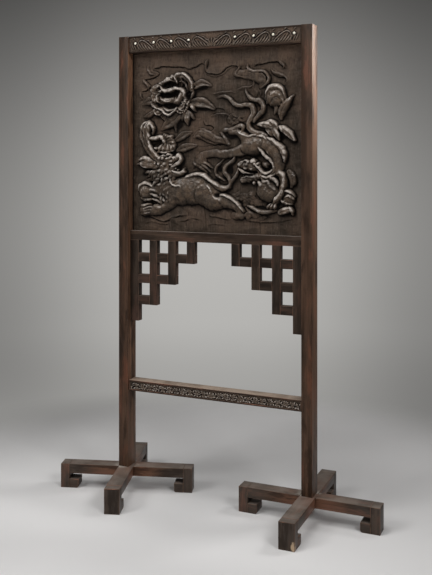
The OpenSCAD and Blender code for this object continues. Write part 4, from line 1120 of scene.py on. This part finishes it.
# %% Lower lion's mane and tail
mane(low, -198, 196, 46, 42, 17, 23.5, 11, lean=-130)
mane(low, -186, 140, 36, 44, 17, 23, 12, lean=-100)
mane(low, -236, 222, 26, 24, 14, 20, 13, lean=-160)
strokes(low, [
    [(-214, 250, 12, 18), (-238, 271, 14, 18), (-262, 298, 13, 17), (-280, 326, 12, 16),
     (-289, 352, 10, 15), (-290, 376, 5, 11)],
    [(-210, 258, 8, 19), (-234, 280, 10, 21), (-256, 308, 10, 21), (-268, 334, 9, 21), (-272, 360, 9, 22),
     (-276, 384, 5, 18)],
    [(-222, 272, 5, 18), (-240, 290, 7, 24), (-252, 312, 8, 25), (-258, 336, 8, 25), (-262, 362, 9, 25),
     (-264, 384, 9, 23), (-256, 398, 5, 17)],
], strands=2, cut=2.0)
strokes(low, [
    [(-266, 350, 7, 21), (-258, 372, 11, 25), (-251, 389, 9, 25), (-242, 382, 7, 23), (-239, 366, 5, 19),
     (-246, 352, 3, 14)], [(-278, 360, 6, 18), (-281, 378, 7, 22), (-272, 392, 6, 20), (-262, 399, 3, 15)],
], strands=2)
strokes(low, [
    [(-236, 248, 7, 17), (-256, 256, 12, 22), (-278, 261, 11, 21), (-300, 259, 5, 14)],
    [(-234, 234, 8, 18), (-258, 238, 13, 23), (-282, 243, 11, 21), (-298, 243, 5, 14)],
], strands=3, cut=1.6, crown=4)
boss(low, -306, 242, 5, 6, 13)
strokes(low, [
    [(-218, 220, 7, 13), (-244, 208, 8, 12), (-268, 194, 4, 8)],
    [(-226, 200, 6, 11), (-250, 188, 7, 10), (-274, 180, 4, 7)],
], strands=2)

# %% Upper lion
high = panel.blank()
strokes(high, [
    [(150, 310, 36, 21), (188, 312, 32, 22), (222, 294, 29, 21), (238, 262, 27, 19), (236, 226, 23, 17)],
    [(124, 322, 24, 19), (106, 344, 16, 17), (84, 357, 12, 15), (62, 354, 11, 13)],
    [(248, 212, 13, 20), (260, 190, 14, 19), (258, 160, 14, 18), (246, 134, 15, 17), (228, 112, 12, 15),
     (212, 100, 10, 13)],
], melt=9)
stroke(high, [(126, 298, 24, 16), (84, 285, 17, 12), (36, 279, 15, 9), (-12, 279, 14, 8), (-46, 273, 13, 8),
              (-60, 252, 12, 9)], crown=5, melt=3)
boss(high, 142, 306, 44, 34, 23, turn=6, melt=5)
groove(high, [(104, 298), (112, 282), (132, 275), (158, 280)], 3.0, 3)
groove(high, [(176, 336), (186, 318), (180, 300)], 2.4, 2.4)
stroke(high, [(204, 332, 7, 19), (222, 322, 12, 24), (240, 307, 13, 25), (255, 289, 13, 25),
              (263, 269, 11, 25), (265, 250, 5, 19)], bands=17, cut=1.0)
stroke(high, [(206, 304, 4, 19), (218, 296, 6, 23), (230, 284, 5, 21)], strands=2)
stroke(high, [(166, 308, 3.5, 21), (175, 292, 6, 25), (192, 274, 7, 25), (212, 259, 7, 24), (224, 241, 7, 22),
             (227, 220, 6, 20), (216, 205, 4, 17)], strands=2)
strokes(high, [
    [(166, 338, 6, 20), (182, 338, 8, 24), (200, 326, 7, 22), (206, 308, 3, 18)],
    [(206, 318, 4, 18), (216, 306, 6, 22), (228, 288, 5, 20), (232, 272, 3, 17)],
    [(212, 300, 3, 17), (206, 286, 5, 20), (212, 272, 3, 18)],
    [(90, 368, 3, 14), (97, 354, 4, 18), (114, 343, 5, 21), (134, 337, 5, 22), (160, 342, 5, 21)],
], strands=2)
boss(high, -54, 254, 24, 26, 9, melt=3)
strokes(high, [
    [(-50, 254, 5, 8), (-30, 243, 6, 13), (-4, 227, 3, 8)],
    [(-52, 244, 5, 8), (-36, 232, 6, 12), (-14, 216, 3, 7)],
    [(-60, 240, 5, 8), (-46, 226, 6, 11), (-28, 212, 3, 6)],
    [(-82, 250, 4, 6), (-72, 242, 6, 11), (-56, 236, 4, 8)],
], strands=2, cut=0.8)

# %% Upper lion's curls and shoulder
boss(high, 202, 152, 42, 42, 23, melt=4)
boss(high, 196, 239, 18, 13, 15, turn=-25, spiral=0.6, cut=1.6)
pit(high, 211, 230, 9, 9, 12)
strokes(high, [
    [(172, 236, 4, 17), (178, 220, 7, 22), (192, 210, 7, 23), (208, 212, 7, 23), (219, 222, 5, 20)],
    [(166, 218, 4, 16), (180, 203, 7, 21), (198, 196, 7, 23), (218, 200, 7, 22), (232, 211, 4, 18)],
    [(168, 184, 5, 18), (177, 170, 10, 23), (192, 168, 9, 23), (200, 155, 10, 25), (214, 146, 7, 23)],
    [(180, 195, 5, 19), (190, 182, 10, 24), (206, 183, 9, 25), (214, 168, 10, 26), (230, 158, 7, 23)],
    [(203, 200, 5, 19), (218, 194, 10, 24), (234, 186, 9, 24), (241, 170, 6, 20)],
], bands=12, cut=1.4, melt=5)

# %% Upper lion's head
boss(high, 148, 234, 31, 24, 18, melt=4)
stroke(high, [(150, 235, 18, 19.5), (124, 236, 14, 20), (108, 238, 10, 20)], melt=3)
boss(high, 103, 242, 11, 10, 25, melt=1)
pit(high, 97, 236, 3, 2.5, 4)
stroke(high, [(98, 230, 4, 20), (108, 222, 6, 25), (116, 212, 6, 25), (130, 207, 6, 25), (144, 205, 6, 25),
              (156, 198, 6, 24), (162, 188, 4, 20)], bands=8, cut=0.8)
stroke(high, [(158, 244, 5, 24), (166, 232, 6, 26), (176, 222, 6, 25), (181, 210, 4, 21)])
pit(high, 150, 213, 14, 4, 10)
stroke(high, [(168, 200, 13, 19), (146, 193, 11, 18), (122, 186, 10, 17), (106, 188, 8, 16)], melt=3)
pit(high, 132, 204, 22, 5, 16)
stroke(high, [(104, 196, 3, 16), (116, 195, 4, 20), (134, 198, 5, 21), (150, 196, 5, 21), (160, 186, 4, 19)])
for x, z in ((112, 201), (122, 202), (132, 203), (118, 208), (130, 206), (143, 207)):
    boss(high, x, z, 2.8, 3.6, 19)
for x, z in ((128, 241), (156, 243)):
    boss(high, x, z, 8.5, 8, 25)
    boss(high, x, z, 4.5, 4.5, 26)
    groove(high, [(x - 9, z - 6), (x, z - 9), (x + 9, z - 6)], 1.8, 3)
    groove(high, [(x - 9, z + 6), (x, z + 8), (x + 9, z + 6)], 1.6, 2)
groove(high, [(114, 248), (112, 238), (116, 230)], 1.6, 2.5)
strokes(high, [
    [(138, 254, 3, 18), (148, 260, 5, 23), (160, 256, 3, 18)],
    [(114, 254, 3, 18), (122, 256, 5, 23), (132, 252, 3, 19)],
    [(136, 228, 3, 18), (144, 224, 5, 23), (154, 230, 3, 19)],
    [(116, 230, 3, 18), (124, 226, 5, 22.5), (134, 230, 3, 18)],
], strands=2)
bosses(high, [
    (106, 247, 11, 8, 24, 20), (130, 250, 9, 7, 23, 60), (149, 252, 13, 8, 26, -10), (168, 244, 8, 7, 24, 50),
    (112, 184, 10, 7, 17, 30), (131, 183, 9, 7, 16, -30), (152, 178, 8, 9, 18, 0), (142, 189, 7, 6, 19, 40),
    (176, 200, 8, 7, 20, 10),
], crown=3, spiral=0.6, cut=1.6)

# %% Upper lion's front leg
strokes(high, [
    [(240, 212, 5, 19), (252, 213, 9, 25), (261, 199, 9, 26), (262, 177, 9, 25), (258, 154, 10, 25),
     (246, 133, 13, 24), (230, 122, 11, 22), (222, 110, 5, 16)],
], strands=2)
boss(high, 274, 126, 25, 26, 14, melt=3)
strokes(high, [
    [(256, 146, 4, 16), (272, 151, 7, 21), (288, 145, 7, 21), (300, 132, 4, 15)],
    [(264, 130, 4, 16), (281, 135, 6, 21), (296, 124, 4, 15)],
    [(262, 114, 4, 14), (275, 110, 7, 18), (290, 108, 4, 14)],
    [(250, 124, 4, 15), (258, 116, 6, 19), (268, 120, 4, 15)],
], bands=10, cut=1.4)
boss(high, 216, 98, 20, 13, 14, melt=3)
for x in (206, 217, 229):
    stroke(high, [(x + 5, 108, 4, 15), (x, 99, 6, 20), (x - 4, 90, 4, 14)])
stroke(high, [(248, 80, 11, 14), (268, 87, 13, 19), (286, 90, 10, 18)], crown=6, strands=2)
stroke(high, [(283, 99, 4, 17), (290, 87, 6, 21), (294, 72, 4, 15)])

# %% Both lions on the panel, with the waves and rocks below them
for sheet in (low, high):
    panel.merge(sheet)
WAVES = [
    [(126, 98, 3, 9), (146, 92, 6, 14), (166, 81, 7, 16), (192, 76, 8, 15), (216, 80, 7, 12),
     (232, 84, 3, 8)], [(112, 62, 4, 6), (124, 74, 6, 9), (140, 74, 6, 9), (150, 64, 5, 7)],
    [(92, 118, 3, 4), (104, 126, 5, 7), (118, 122, 5, 7), (126, 112, 3, 4)],
    [(76, 62, 3, 5), (86, 70, 5, 8), (98, 66, 4, 7), (108, 72, 3, 6)],
    [(118, 92, 3, 5), (124, 84, 4, 8), (134, 82, 3, 7)],
]
strokes(panel, WAVES, strands=2)
mane(panel, 110, 126, 46, 16, 15, 8, 21, lean=10)
mane(panel, 104, 66, 36, 16, 14, 8, 22, lean=40)
mane(panel, 156, 60, 36, 10, 13, 6, 23, lean=0)
mane(panel, 150, 108, 46, 10, 13, 6, 24, lean=0)
SHADED = [
    (180, 92, 26, 5, 0.9), (248, 336, 27, 9, 0.9), (122, 354, 24, 7, 0.8), (64, 340, 20, 12, 0.7),
    (-46, 507, 20, 4, 0.7), (60, 224, 12, 18, 0.8), (22, 226, 8, 13, 0.6), (10, 187, 16, 8, 0.8),
    (-272, 206, 20, 10, 0.7), (30, 146, 18, 6, 0.8), (-140, 384, 16, 20, 0.6), (-40, 434, 34, 5, 0.6),
    (-176, 275, 34, 4, 0.8), (238, 150, 5, 16, 0.6), (138, 186, 16, 4, 0.6),
]
# painted shade: dark patches where shade falls beside and under the forms
for x, z, rx, rz, amount in SHADED:
    bell = np.exp(-(panel.spread(x, z, rx, rz) ** 2))
    panel.soot_and_shade = np.maximum(panel.soot_and_shade, amount * bell * np.clip(1.6 - panel.h / 8, 0, 1))
# painted shade over the manes and the heads
for x, z, rx, rz in ((-210, 196, 52, 34), (-205, 146, 40, 34), (120, 240, 26, 16), (138, 196, 34, 16),
                     (206, 172, 34, 20)):
    panel.soot_and_shade = np.maximum(panel.soot_and_shade, 0.28 * np.exp(-(panel.spread(x, z, rx, rz) ** 2)))
for x, z, r, height in ((132, 64, 12, 8), (138, 138, 16, 8), (108, 128, 13, 7), (168, 66, 10, 7),
                        (152, 62, 9, 6), (92, 58, 11, 7)):
    boss(panel, x, z, r, r * 0.85, height, spiral=1.5, cut=1.8)
print("lions carved, highest point", round(float(panel.h.max()), 1), "mm")

# %% [markdown]
# ## Hand and age
# A carved surface is never as smooth as its formula. No outline is a perfect curve, the gouge leaves a slight
# ripple, the raised wood has creases and fine furrows like fur, the boards have shrunk apart at their seams,
# and one has a short crack at the bottom. Three things are stored with each point for the finish: how high it
# stands, because hands and wax cloth reach only the high places; how hollow it lies, which is the height of
# what is around and above it less its own, and which darkens it as dirt and as painted shade, most under the
# forms and beside the posts; and how far it stands out, which is its own height less that around it and less
# that just above it, and which paints a highlight on upper edges.


# %% Age
def blur(field, reach):
    """The mean of the field over a square window, from running sums along each axis, made twice over."""
    for axis in (0, 1, 0, 1):
        pad = [(reach + 1, reach) if a == axis else (0, 0) for a in (0, 1)]
        total = np.cumsum(np.pad(field, pad, mode="edge"), axis)
        n = field.shape[axis]
        take = lambda k: np.take(total, range(k, k + n), axis)
        field = (take(2 * reach + 1) - take(0)) / (2 * reach + 1)
    return field


def wander(field, shift, cells, seed):
    """The field taken from places that smooth noise has moved by up to the shift in mm."""
    n = field.shape
    u = np.arange(n[0])[:, None] + shift / CELL * smooth_noise(n, (cells, cells), seed)
    v = np.arange(n[1])[None, :] + shift / CELL * smooth_noise(n, (cells, cells), seed + 1)
    u, v = np.clip(u, 0, n[0] - 1.001), np.clip(v, 0, n[1] - 1.001)
    i, j = u.astype(int), v.astype(int)
    a, b = u - i, v - j
    near_row = field[i, j] * (1 - a) + field[i + 1, j] * a
    next_row = field[i, j + 1] * (1 - a) + field[i + 1, j + 1] * a
    return near_row * (1 - b) + next_row * b


def panel_noise(cells, seed):
    """Smooth noise over the whole panel, with so many cells along x and z."""
    return smooth_noise(panel.h.shape, cells, seed)


def thin_lines(noise, width):
    """1 along the lines where the noise is 0, down to 0 at that width."""
    return np.clip(1 - np.abs(noise) / width, 0, 1)


DEEPEST, HIGHEST = -2.5, 25.0       # mm from the ground
EDGE = 2                            # mm beside the frame that stay flat
for shift, cells, seed in ((2.6, 22, 31), (1.5, 64, 41)):
    panel.soot_and_shade = wander(panel.soot_and_shade, shift, cells, seed)
    panel.h = wander(panel.h, shift, cells, seed)
raised = np.clip(panel.h / 6, 0, 1)
creases = thin_lines(panel_noise((78, 78), 10), 0.13) + 0.6 * thin_lines(panel_noise((110, 110), 14), 0.16)
furrows = thin_lines(panel_noise((150, 60), 61), 0.12)
uneven = 0.5 * panel_noise((170, 170), 8) + 1.2 * panel_noise((64, 64), 9)
panel.h += (uneven - 0.9 * creases - 0.6 * furrows) * raised
ripples = 1.1 * panel_noise((15, 34), 51) + 0.6 * panel_noise((60, 110), 52)
ripples += 0.3 * panel_noise((120, 150), 53)
panel.h += ripples * (1 - raised)
groove(panel, [(-46, 100), (-38, 74), (-35, 40), (-34, 4)], 1.3, 2.2)
groove(panel, [(171, 30), (171, 2)], 1.2, 1.5)
groove(panel, [(243, 42), (243, 4)], 1.2, 1.2)
for seam in cad_x[1:3]:
    panel.h -= 0.9 * np.exp(-(((panel.x - seam) / 1.3) ** 2)) * np.clip(1.2 - panel.h / 14, 0, 1)
OPENING = (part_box("post_left")[1][0] / MM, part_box("post_right")[0][0] / MM)
OPENING_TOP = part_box("top_rail")[0][2] / MM - OPENING_Z
inside = ((panel.x > OPENING[0] + EDGE) & (panel.x < OPENING[1] - EDGE)
          & (panel.z > EDGE) & (panel.z < OPENING_TOP - EDGE))
panel.h = np.where(inside, np.clip(panel.h, DEEPEST, HIGHEST), 0.0)
print("aged, from", round(float(panel.h.min()), 1), "to", round(float(panel.h.max()), 1), "mm")

# %% Stored values
# painted shadow: blurred heights moved down and to the right darken what lies below and right of a form
over = np.roll(blur(panel.h, 5), (1, -6), (0, 1))
hollow = 0.55 * np.clip((blur(panel.h, 2) - panel.h) / 2.2, 0, 1)
hollow += 0.6 * np.clip((over - panel.h) / 7.0, 0, 1)
hollow = np.clip(np.maximum(hollow, panel.soot_and_shade) + 0.3 * panel.soot_and_shade, 0, 1.3)
# painted shade along the posts
from_post = np.minimum(panel.x - OPENING[0], OPENING[1] - panel.x)
hollow = np.maximum(hollow, 0.75 * np.exp(-((from_post / 6.0) ** 2)))
# painted highlight: each height less that just above it marks the upper edges
above = np.roll(blur(panel.h, 2), (1, -5), (0, 1))
proud_highlight = np.clip(0.4 * (panel.h - blur(panel.h, 3)) / 2.2 + 0.75 * (panel.h - above) / 7.0, 0, 1)
print("hollow share", round(float((hollow > 0.3).mean()), 3), "proud share",
      round(float((proud_highlight > 0.3).mean()), 3))

# %% [markdown]
# ## The carved finish
# The same dark wood, but its colour now follows the stored values: nearly black in the hollows, as dirt and
# painted shade; mottled brown on the bodies; and grey with old wax and dust and a painted highlight on the
# upper edges of what stands out and on what looks up, where it is also smoothest. The ground has streaks,
# brown patches and a fine grit drawn out along the grain, and is browner near the top. A fine bump stands
# for tool marks too small for the mesh.

# %% Carved finish
GROUND_DARK, GROUND_LIGHT = (0.024, 0.0175, 0.012), (0.074, 0.051, 0.036)
BROWN_TOP, BROWN_PATCH = (0.098, 0.066, 0.047), (0.120, 0.076, 0.052)
GRIT_LIGHT, GRIT_DARK, SHADE_AND_DIRT_COLOUR = (0.125, 0.092, 0.071), (0.016, 0.011, 0.008), (0.003, 0.0022, 0.0018)
BODY_DARK, BODY_LIGHT = (0.048, 0.035, 0.025), (0.104, 0.070, 0.046)
WAX_HIGHLIGHT_DARK, WAX_HIGHLIGHT_LIGHT, RIM_HIGHLIGHT = (0.17, 0.137, 0.112), (0.30, 0.254, 0.218), (0.46, 0.405, 0.36)


def carved_wood(name, grain, seed=0.0):
    """Dark wood with its grain along one axis, coloured by the stored height, by the hollow as dirt and
    painted shade, and by how far it stands out as wax with a painted highlight; what looks up takes dust and
    a painted highlight.
    """
    f = Finish(name)

    def pattern(stretch, shift, scale, detail, rough):
        """Noise over the stretched and shifted place."""
        return f.noise(f.place((0, 0, 0), stretch, shift), scale, detail, rough)

    streaks = pattern(along(grain, 0.04), (seed, 0, seed), 60.0, 4.0, 0.6).ramp(0.35, 0.7)
    blotch = pattern((1, 1, 1), (0, 0, 0), 16.0, 3.0, 0.55).ramp(0.35, 0.7)
    mottle = pattern((1, 1, 1), (0, 0, 0), 46.0, 4.0, 0.6).ramp(0.36, 0.66)
    speck = pattern((1, 1, 1), (0, 0, 0), 190.0, 2.0, 0.6).ramp(0.35, 0.65)
    broken = 0.35 + 0.75 * pattern((1, 1, 1), (3, 1, 2), 70.0, 3.0, 0.6).ramp(0.36, 0.60)
    patch = pattern((1, 1, 0.6), (4, 0, 7), 11.0, 2.0, 0.5).ramp(0.46, 0.66)
    grit = pattern((1, 1, 0.22), (2, 5, 1), 190.0, 3.0, 0.6)
    marks = pattern((1, 1, 0.5), (0, 0, 0), 260.0, 3.0, 0.6)
    height, darkening, top = f.stored("height"), f.stored("hollow"), f.stored("proud_highlight")
    level, upward = f.at().axis(2), f.facing().axis(2)
    ground = f.mix(streaks * 0.4 + blotch * 0.45, GROUND_DARK, GROUND_LIGHT)
    ground = f.mix(level.ramp(1.42, 1.56) * (0.35 + 0.4 * blotch), ground, BROWN_TOP)
    ground = f.mix(patch * 0.4, ground, BROWN_PATCH)
    ground = f.mix(grit.ramp(0.54, 0.68) * 0.35, ground, GRIT_LIGHT)
    ground = f.mix((1.0 - grit).ramp(0.54, 0.66) * 0.4, ground, GRIT_DARK)
    wood = f.mix(height.ramp(0.15, 0.6) * 0.8, ground, f.mix(mottle, BODY_DARK, BODY_LIGHT))
    # dust and wax with a painted highlight on what looks up and on the upper edges
    dust_highlight = upward.ramp(0.25, 0.8) * height.ramp(0.1, 0.7) * (0.3 + 0.5 * speck)
    wax_highlight = top * height.ramp(0.2, 0.8) * (0.35 + 0.45 * speck)
    wood = f.mix(((dust_highlight + wax_highlight) * broken).clamp(), wood, f.mix(blotch, WAX_HIGHLIGHT_DARK, WAX_HIGHLIGHT_LIGHT))
    # painted highlight along the highest upper edges
    wood = f.mix(((top * height.ramp(0.4, 0.9)).ramp(0.25, 0.8) * 0.8 * broken).clamp(), wood, RIM_HIGHLIGHT)
    # the stored darkening: dirt and painted shade on the panel, nearly black in its hollows
    wood = f.mix((darkening * (1.9 - 0.6 * broken)).clamp(), wood, SHADE_AND_DIRT_COLOUR)
    rough = 0.62 - 0.22 * height.ramp(0.1, 0.5) - 0.14 * top + 0.5 * darkening + 0.08 * blotch
    cuts = {"Strength": 0.3, "Distance": 0.0008, "Height": marks + 0.4 * streaks}
    f.shade(Base_Color=wood, Roughness=rough.clamp(), Normal=f.node("ShaderNodeBump", {}, cuts))
    coat = 0.12 * height.ramp(0.15, 0.6) + 0.85 * top * height.ramp(0.1, 0.4) * broken - 1.2 * darkening
    f.shade(Coat_Weight=coat.clamp(), Coat_Roughness=0.2)
    f.shade(Specular_IOR_Level=0.2, Specular_Tint=(1.0, 0.93, 0.87))
    return f.material


# %% [markdown]
# ## Boards from the heights
# Each board is a closed block: the carved grid in front, plain sides, and a back of long strips. The three
# boards share the heights along their seams, so the carving runs across them unbroken.


# %% Boards
# how much the plain sides of each block are darkened
SIDE_DARKENING = 0.3


def store(mesh, name, values):
    """Stores one value for each of the mesh's points."""
    kept = mesh.attributes.new(name, "FLOAT", "POINT")
    kept.data.foreach_set("value", np.asarray(values, np.float32).ravel())


def carved_block(name, x, z, front, back, materials, stored):
    """A grid of front points (x, front, z), closed by straight sides to the plane y = back."""
    nx, nz = front.shape
    gx, gz = np.meshgrid(x, z, indexing="ij")
    face = np.stack([gx, front, gz], -1).reshape(-1, 3)
    rear = np.concatenate([np.stack([np.full(nz, v), np.full(nz, back), z], -1) for v in (x[0], x[-1])])
    left, right = nx * nz + np.arange(nz), nx * nz + nz + np.arange(nz)
    front_left, front_right = np.arange(nz), (nx - 1) * nz + np.arange(nz)
    strip = lambda a, b: np.stack([a[:-1], b[:-1], b[1:], a[1:]], -1)
    faces = [grid_faces(nx, nz), strip(left, front_left), strip(front_right, right), strip(right, left)]
    bottom = [*range(0, nx * nz, nz), right[0], left[0]][::-1]
    top = [*range(nz - 1, nx * nz, nz), right[-1], left[-1]]
    faces = [row for group in faces for row in group.tolist()] + [bottom, top]
    made = new_object(name, np.concatenate([face, rear]), faces, materials)
    smooth = np.zeros(len(faces), bool)
    smooth[: (nx - 1) * (nz - 1)] = True
    made.data.polygons.foreach_set("use_smooth", smooth)
    for key, values in stored.items():
        edge = SIDE_DARKENING if key == "hollow" else values.min()
        store(made.data, key, np.concatenate([values.ravel(), np.full(2 * nz, edge)]))
    return made


GROUND_Y = 6.5 * MM
panel_finish = carved_wood("carved_panel", "Z")
for k, part in enumerate(("left", "middle", "right")):
    node = "panel_board_" + part
    low_x, high_x = np.searchsorted(xs, [cad_x[k] - 0.01, cad_x[k + 1] - 0.01])
    take = slice(low_x, high_x + 1)
    front = GROUND_Y - panel.h[take] * MM
    stored = {"height": np.clip(panel.h[take] / HIGHEST, 0, 1), "hollow": hollow[take], "proud_highlight": proud_highlight[take]}
    board = carved_block(node + "_carved", xs[take] * MM, (zs + OPENING_Z) * MM, front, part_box(node)[1][1],
                         [panel_finish], stored)
    settle(board, node)
    print(node, len(board.data.polygons), "faces")

# %% [markdown]
# ## The engraved rails
# The fronts of the top and the lower rail are sunk a little inside a plain border, and engraved in the sunk
# field: crests like waves over slanting blades on the top rail, mirrored at its middle, and a running leaf
# scroll with a small palmette on the lower one. Each is a thin carved skin that fills the sunk field of its
# rail, in the carved finish.


# %% Engraved fields
BORDER, SINK, CUT_DEPTH = 5.0, 2.0, 1.95        # mm
DOTS_FROM_POST = (27, 102, 173, 242)
dot_low, dot_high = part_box("bone_dots")
DOT_Z = (dot_low[2] + dot_high[2]) / 2 / MM
dots_x = [s * (-OPENING[0] - d) for s in (-1, 1) for d in DOTS_FROM_POST]


def engraved_field(node, draw, cell=0.9, rings=(), polish_and_highlight=0.7):
    """A skin over the sunk field of a rail, with what draw carves on it; the share scales its wax and painted
    highlight. Its cuts are darkened, and dirt lies in rings, each given by its middle x, z and radius."""
    low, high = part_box(node)
    x_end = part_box("post_right")[0][0] / MM - BORDER
    z0, z1 = low[2] / MM + BORDER, high[2] / MM - BORDER
    x_at = np.linspace(-x_end, x_end, int(2 * x_end / cell) + 1)
    z_at = np.linspace(0, z1 - z0, int((z1 - z0) / cell) + 1)
    field = Relief(x_at, z_at, 0.25)
    draw(field)
    field.h = np.clip(field.h + 0.08 * smooth_noise(field.h.shape, (200, 16), 3), 0.05, CUT_DEPTH)
    around = blur(field.h, 3)
    darkening = np.clip((around - field.h) / 0.55, 0, 1) * 0.95
    for cx, cz, r in rings:
        away = np.hypot(field.x - cx, field.z - (cz - z0))
        darkening = np.maximum(darkening, 0.9 * np.exp(-(((away - r) / 2.2) ** 2)))
    stored = {"height": np.clip(field.h / CUT_DEPTH, 0, 1) * polish_and_highlight, "hollow": darkening,
              "proud_highlight": np.clip((field.h - around) / 0.8, 0, 1) * polish_and_highlight}
    plane = low[1] + SINK * MM
    skin = carved_block(node + "_engraving", x_at * MM, (z_at + z0) * MM, plane - field.h * MM,
                        plane + 0.3 * MM, [carved_wood(node + "_engraved", "X", seed=2.0)], stored)
    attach(skin, body_of(node))
    print(skin.name, len(skin.data.polygons), "faces")


def mirrored(rows, side, shift=0.0):
    """The rows moved to the right by the shift, and turned over to the left where side is -1."""
    return [(side * (shift + x), z, width, height) for x, z, width, height in rows]


def palmette(field, leans, rows, **how):
    """Leaves that fan out from the bottom of the middle, one for each lean in degrees. A row (sideways reach,
    upward reach, half width, height) lies at the reaches times the sine and the cosine of the lean."""
    for a in np.radians(leans):
        stroke(field, [(out * math.sin(a), 4 + up * math.cos(a), wide, high) for out, up, wide, high in rows],
               **how)


def wave_crests(field):
    """Crests like breaking waves, each over a row of slanting blades, mirrored at the middle."""
    crest = [(-73, 3, 1.5, 1.2), (-56, 13, 2.2, 1.8), (-36, 29, 2.4, 1.95), (-18, 38, 2.4, 1.95),
             (-5, 34, 2.4, 1.95), (0, 22, 2.6, 1.95), (-1, 6, 1.6, 1.4)]
    for side in (-1, 1):
        for front in (293, 217, 145, 72):
            stroke(field, mirrored(crest, side, front))
            for x, tip in zip(np.arange(-64, -1, 10.5), (13, 20, 27, 31, 30, 25)):
                blade = [(-2, 2, 1.2, 1.0), (0.35 * tip, 0.45 * tip, 3.6, 1.9), (0.7 * tip, tip, 1.0, 0.8)]
                stroke(field, mirrored(blade, side, front + x), crown=1.6)
            for x, z, lean in ((-62, 24, 16), (-50, 33, 15), (-26, 46, 18), (8, 13, 9), (8, 44, 14)):
                spark = [(0, z - 4, 1, 0.8), (0.4 * lean, z + 2, 2.6, 1.7), (lean, z + 5, 1, 0.8)]
                stroke(field, mirrored(spark, side, front + x), crown=1.6)
        for x in (306, 314):
            stroke(field, mirrored([(-6, 4, 1.2, 1.0), (0, 16, 3.2, 1.8), (6, 30, 1, 0.8)], side, x),
                   crown=1.6)
    palmette(field, (-50, -25, 0, 25, 50), [(0, 0, 2, 1.2), (22, 18, 3.6, 1.9), (34, 32, 1, 0.9)], crown=1.6)


def leaf_scroll(field):
    """Spiral rosettes turned up and down by turns, with three leaflets fanning out of each."""
    middle = field.zs[-1] / 2
    for side in (-1, 1):
        stem = [(x, middle + 5.0 * math.sin(math.pi * (x - 14) / 27), 1.7, 1.6) for x in range(14, 326, 6)]
        stroke(field, mirrored(stem, side))
        for k, x in enumerate(np.arange(28, 318, 27.0)):
            up = 1 if k % 2 else -1
            boss(field, side * x, middle - 2.5 * up, 7.5, 7.5, 1.95, spiral=side * up * 1.3, cut=1.1,
                 base=0.7)
            for a in np.radians((-38, 0, 38)):
                out, rise = 13 * math.sin(a), 9.5 * math.cos(a)
                leaflet = [
                    (0.3 * out, middle + 4 * up, 1.4, 1.3),
                    (0.65 * out, middle + up * (4 + rise / 2), 2.6, 1.9),
                    (out, middle + up * (4 + rise), 1.0, 0.8),
                ]
                stroke(field, mirrored(leaflet, side, x))
            for a in np.radians((60, 110)):
                sprig = [
                    (0, middle, 1.3, 1.2),
                    (8 * math.sin(a), middle - up * 7 * math.cos(a) - 4 * up, 2.3, 1.8),
                    (13 * math.sin(a), middle - up * (9 * math.cos(a) + 6), 0.9, 0.7),
                ]
                stroke(field, mirrored(sprig, side, x))
    rng = np.random.default_rng(5)
    for k, x in enumerate(np.arange(-318, 322, 11.0)):
        for row, z in enumerate((6, 19)):
            px, pz = x + 5.5 * (row % 2) + rng.normal(0, 1.2), z + rng.normal(0, 1.2)
            a = math.radians((35 if (k + row) % 2 else 125) + rng.normal(0, 18))
            dx, dz = 6.2 * math.cos(a), 6.2 * math.sin(a)
            stroke(field, [(px - dx, pz - dz, 1.0, 0.9), (px, pz, 2.9, 1.95), (px + dx, pz + dz, 1.0, 0.9)])
    palmette(field, range(-75, 76, 25), [(0, 0, 2, 1.4), (11, 11, 2.8, 1.95), (19, 19, 1.2, 1.0)])
    boss(field, 0, 5, 5, 4, 1.95)


engraved_field("top_rail", wave_crests, rings=[(x, DOT_Z, 5.6) for x in dots_x], polish_and_highlight=0.66)
engraved_field("lower_rail", leaf_scroll, cell=0.8, polish_and_highlight=0.92)

# %% [markdown]
# ## Bone dots
# Eight small discs of bone are let into the top rail. Each is a profile turned round the dot's own axis: a
# low dome with a rounded rim.

# %% Bone dots
DOME = [(0, 1.9), (0.9, 1.88), (1.9, 1.78), (2.9, 1.55), (3.7, 1.2), (4.2, 0.8), (4.45, 0.35), (4.5, 0),
        (4.5, -3), (0, -3)]
DOT_SIDES = 28
turned = revolve([(r * MM, h * MM) for r, h in DOME], DOT_SIDES)
field_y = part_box("top_rail")[0][1] + SINK * MM
points, faces = [], []
for k, x in enumerate(dots_x):
    place = np.stack([turned[..., 0] + x * MM, field_y - turned[..., 2], turned[..., 1] + DOT_Z * MM], -1)
    points.append(place.reshape(-1, 3))
    faces.append(grid_faces(DOT_SIDES, len(DOME), closed=True) + DOT_SIDES * len(DOME) * k)
bone = Finish("old_bone")
rings = bone.noise(bone.place((0, 0, 0), (1, 1, 0.3)), 900.0, 3.0, 0.6).ramp(0.35, 0.75)
bone.shade(Base_Color=bone.mix(rings * 0.5, (0.84, 0.79, 0.67), (0.70, 0.62, 0.47)),
           Roughness=0.3 + 0.2 * rings)
dots = new_object("bone_dots_domed", np.concatenate(points), np.concatenate(faces), [bone.material],
                  poles=True)
settle(dots, "bone_dots")
work = bmesh.new()
work.from_mesh(dots.data)
bmesh.ops.recalc_face_normals(work, faces=work.faces)
work.to_mesh(dots.data)
work.free()
print(len(dots_x), "bone dots,", len(dots.data.polygons), "faces")

# %% [markdown]
# ## Washers and screws
# Under each foot a plain iron washer and a screw keep it on its post. They can be seen only from below, and
# keep their solids with a dark iron finish.

# %% Iron
iron = Finish("dark_iron")
rust = iron.noise(iron.place(), 90.0, 4.0, 0.6).ramp(0.45, 0.7)
iron.shade(Base_Color=iron.mix(rust, (0.055, 0.055, 0.06), (0.13, 0.065, 0.035)), Roughness=0.4 + 0.35 * rust)
iron.shade(Metallic=1.0 - 0.7 * rust)
for node in ("foot_washers", "foot_screws"):
    frame["nodes"][node].data.materials.clear()
    frame["nodes"][node].data.materials.append(iron.material)
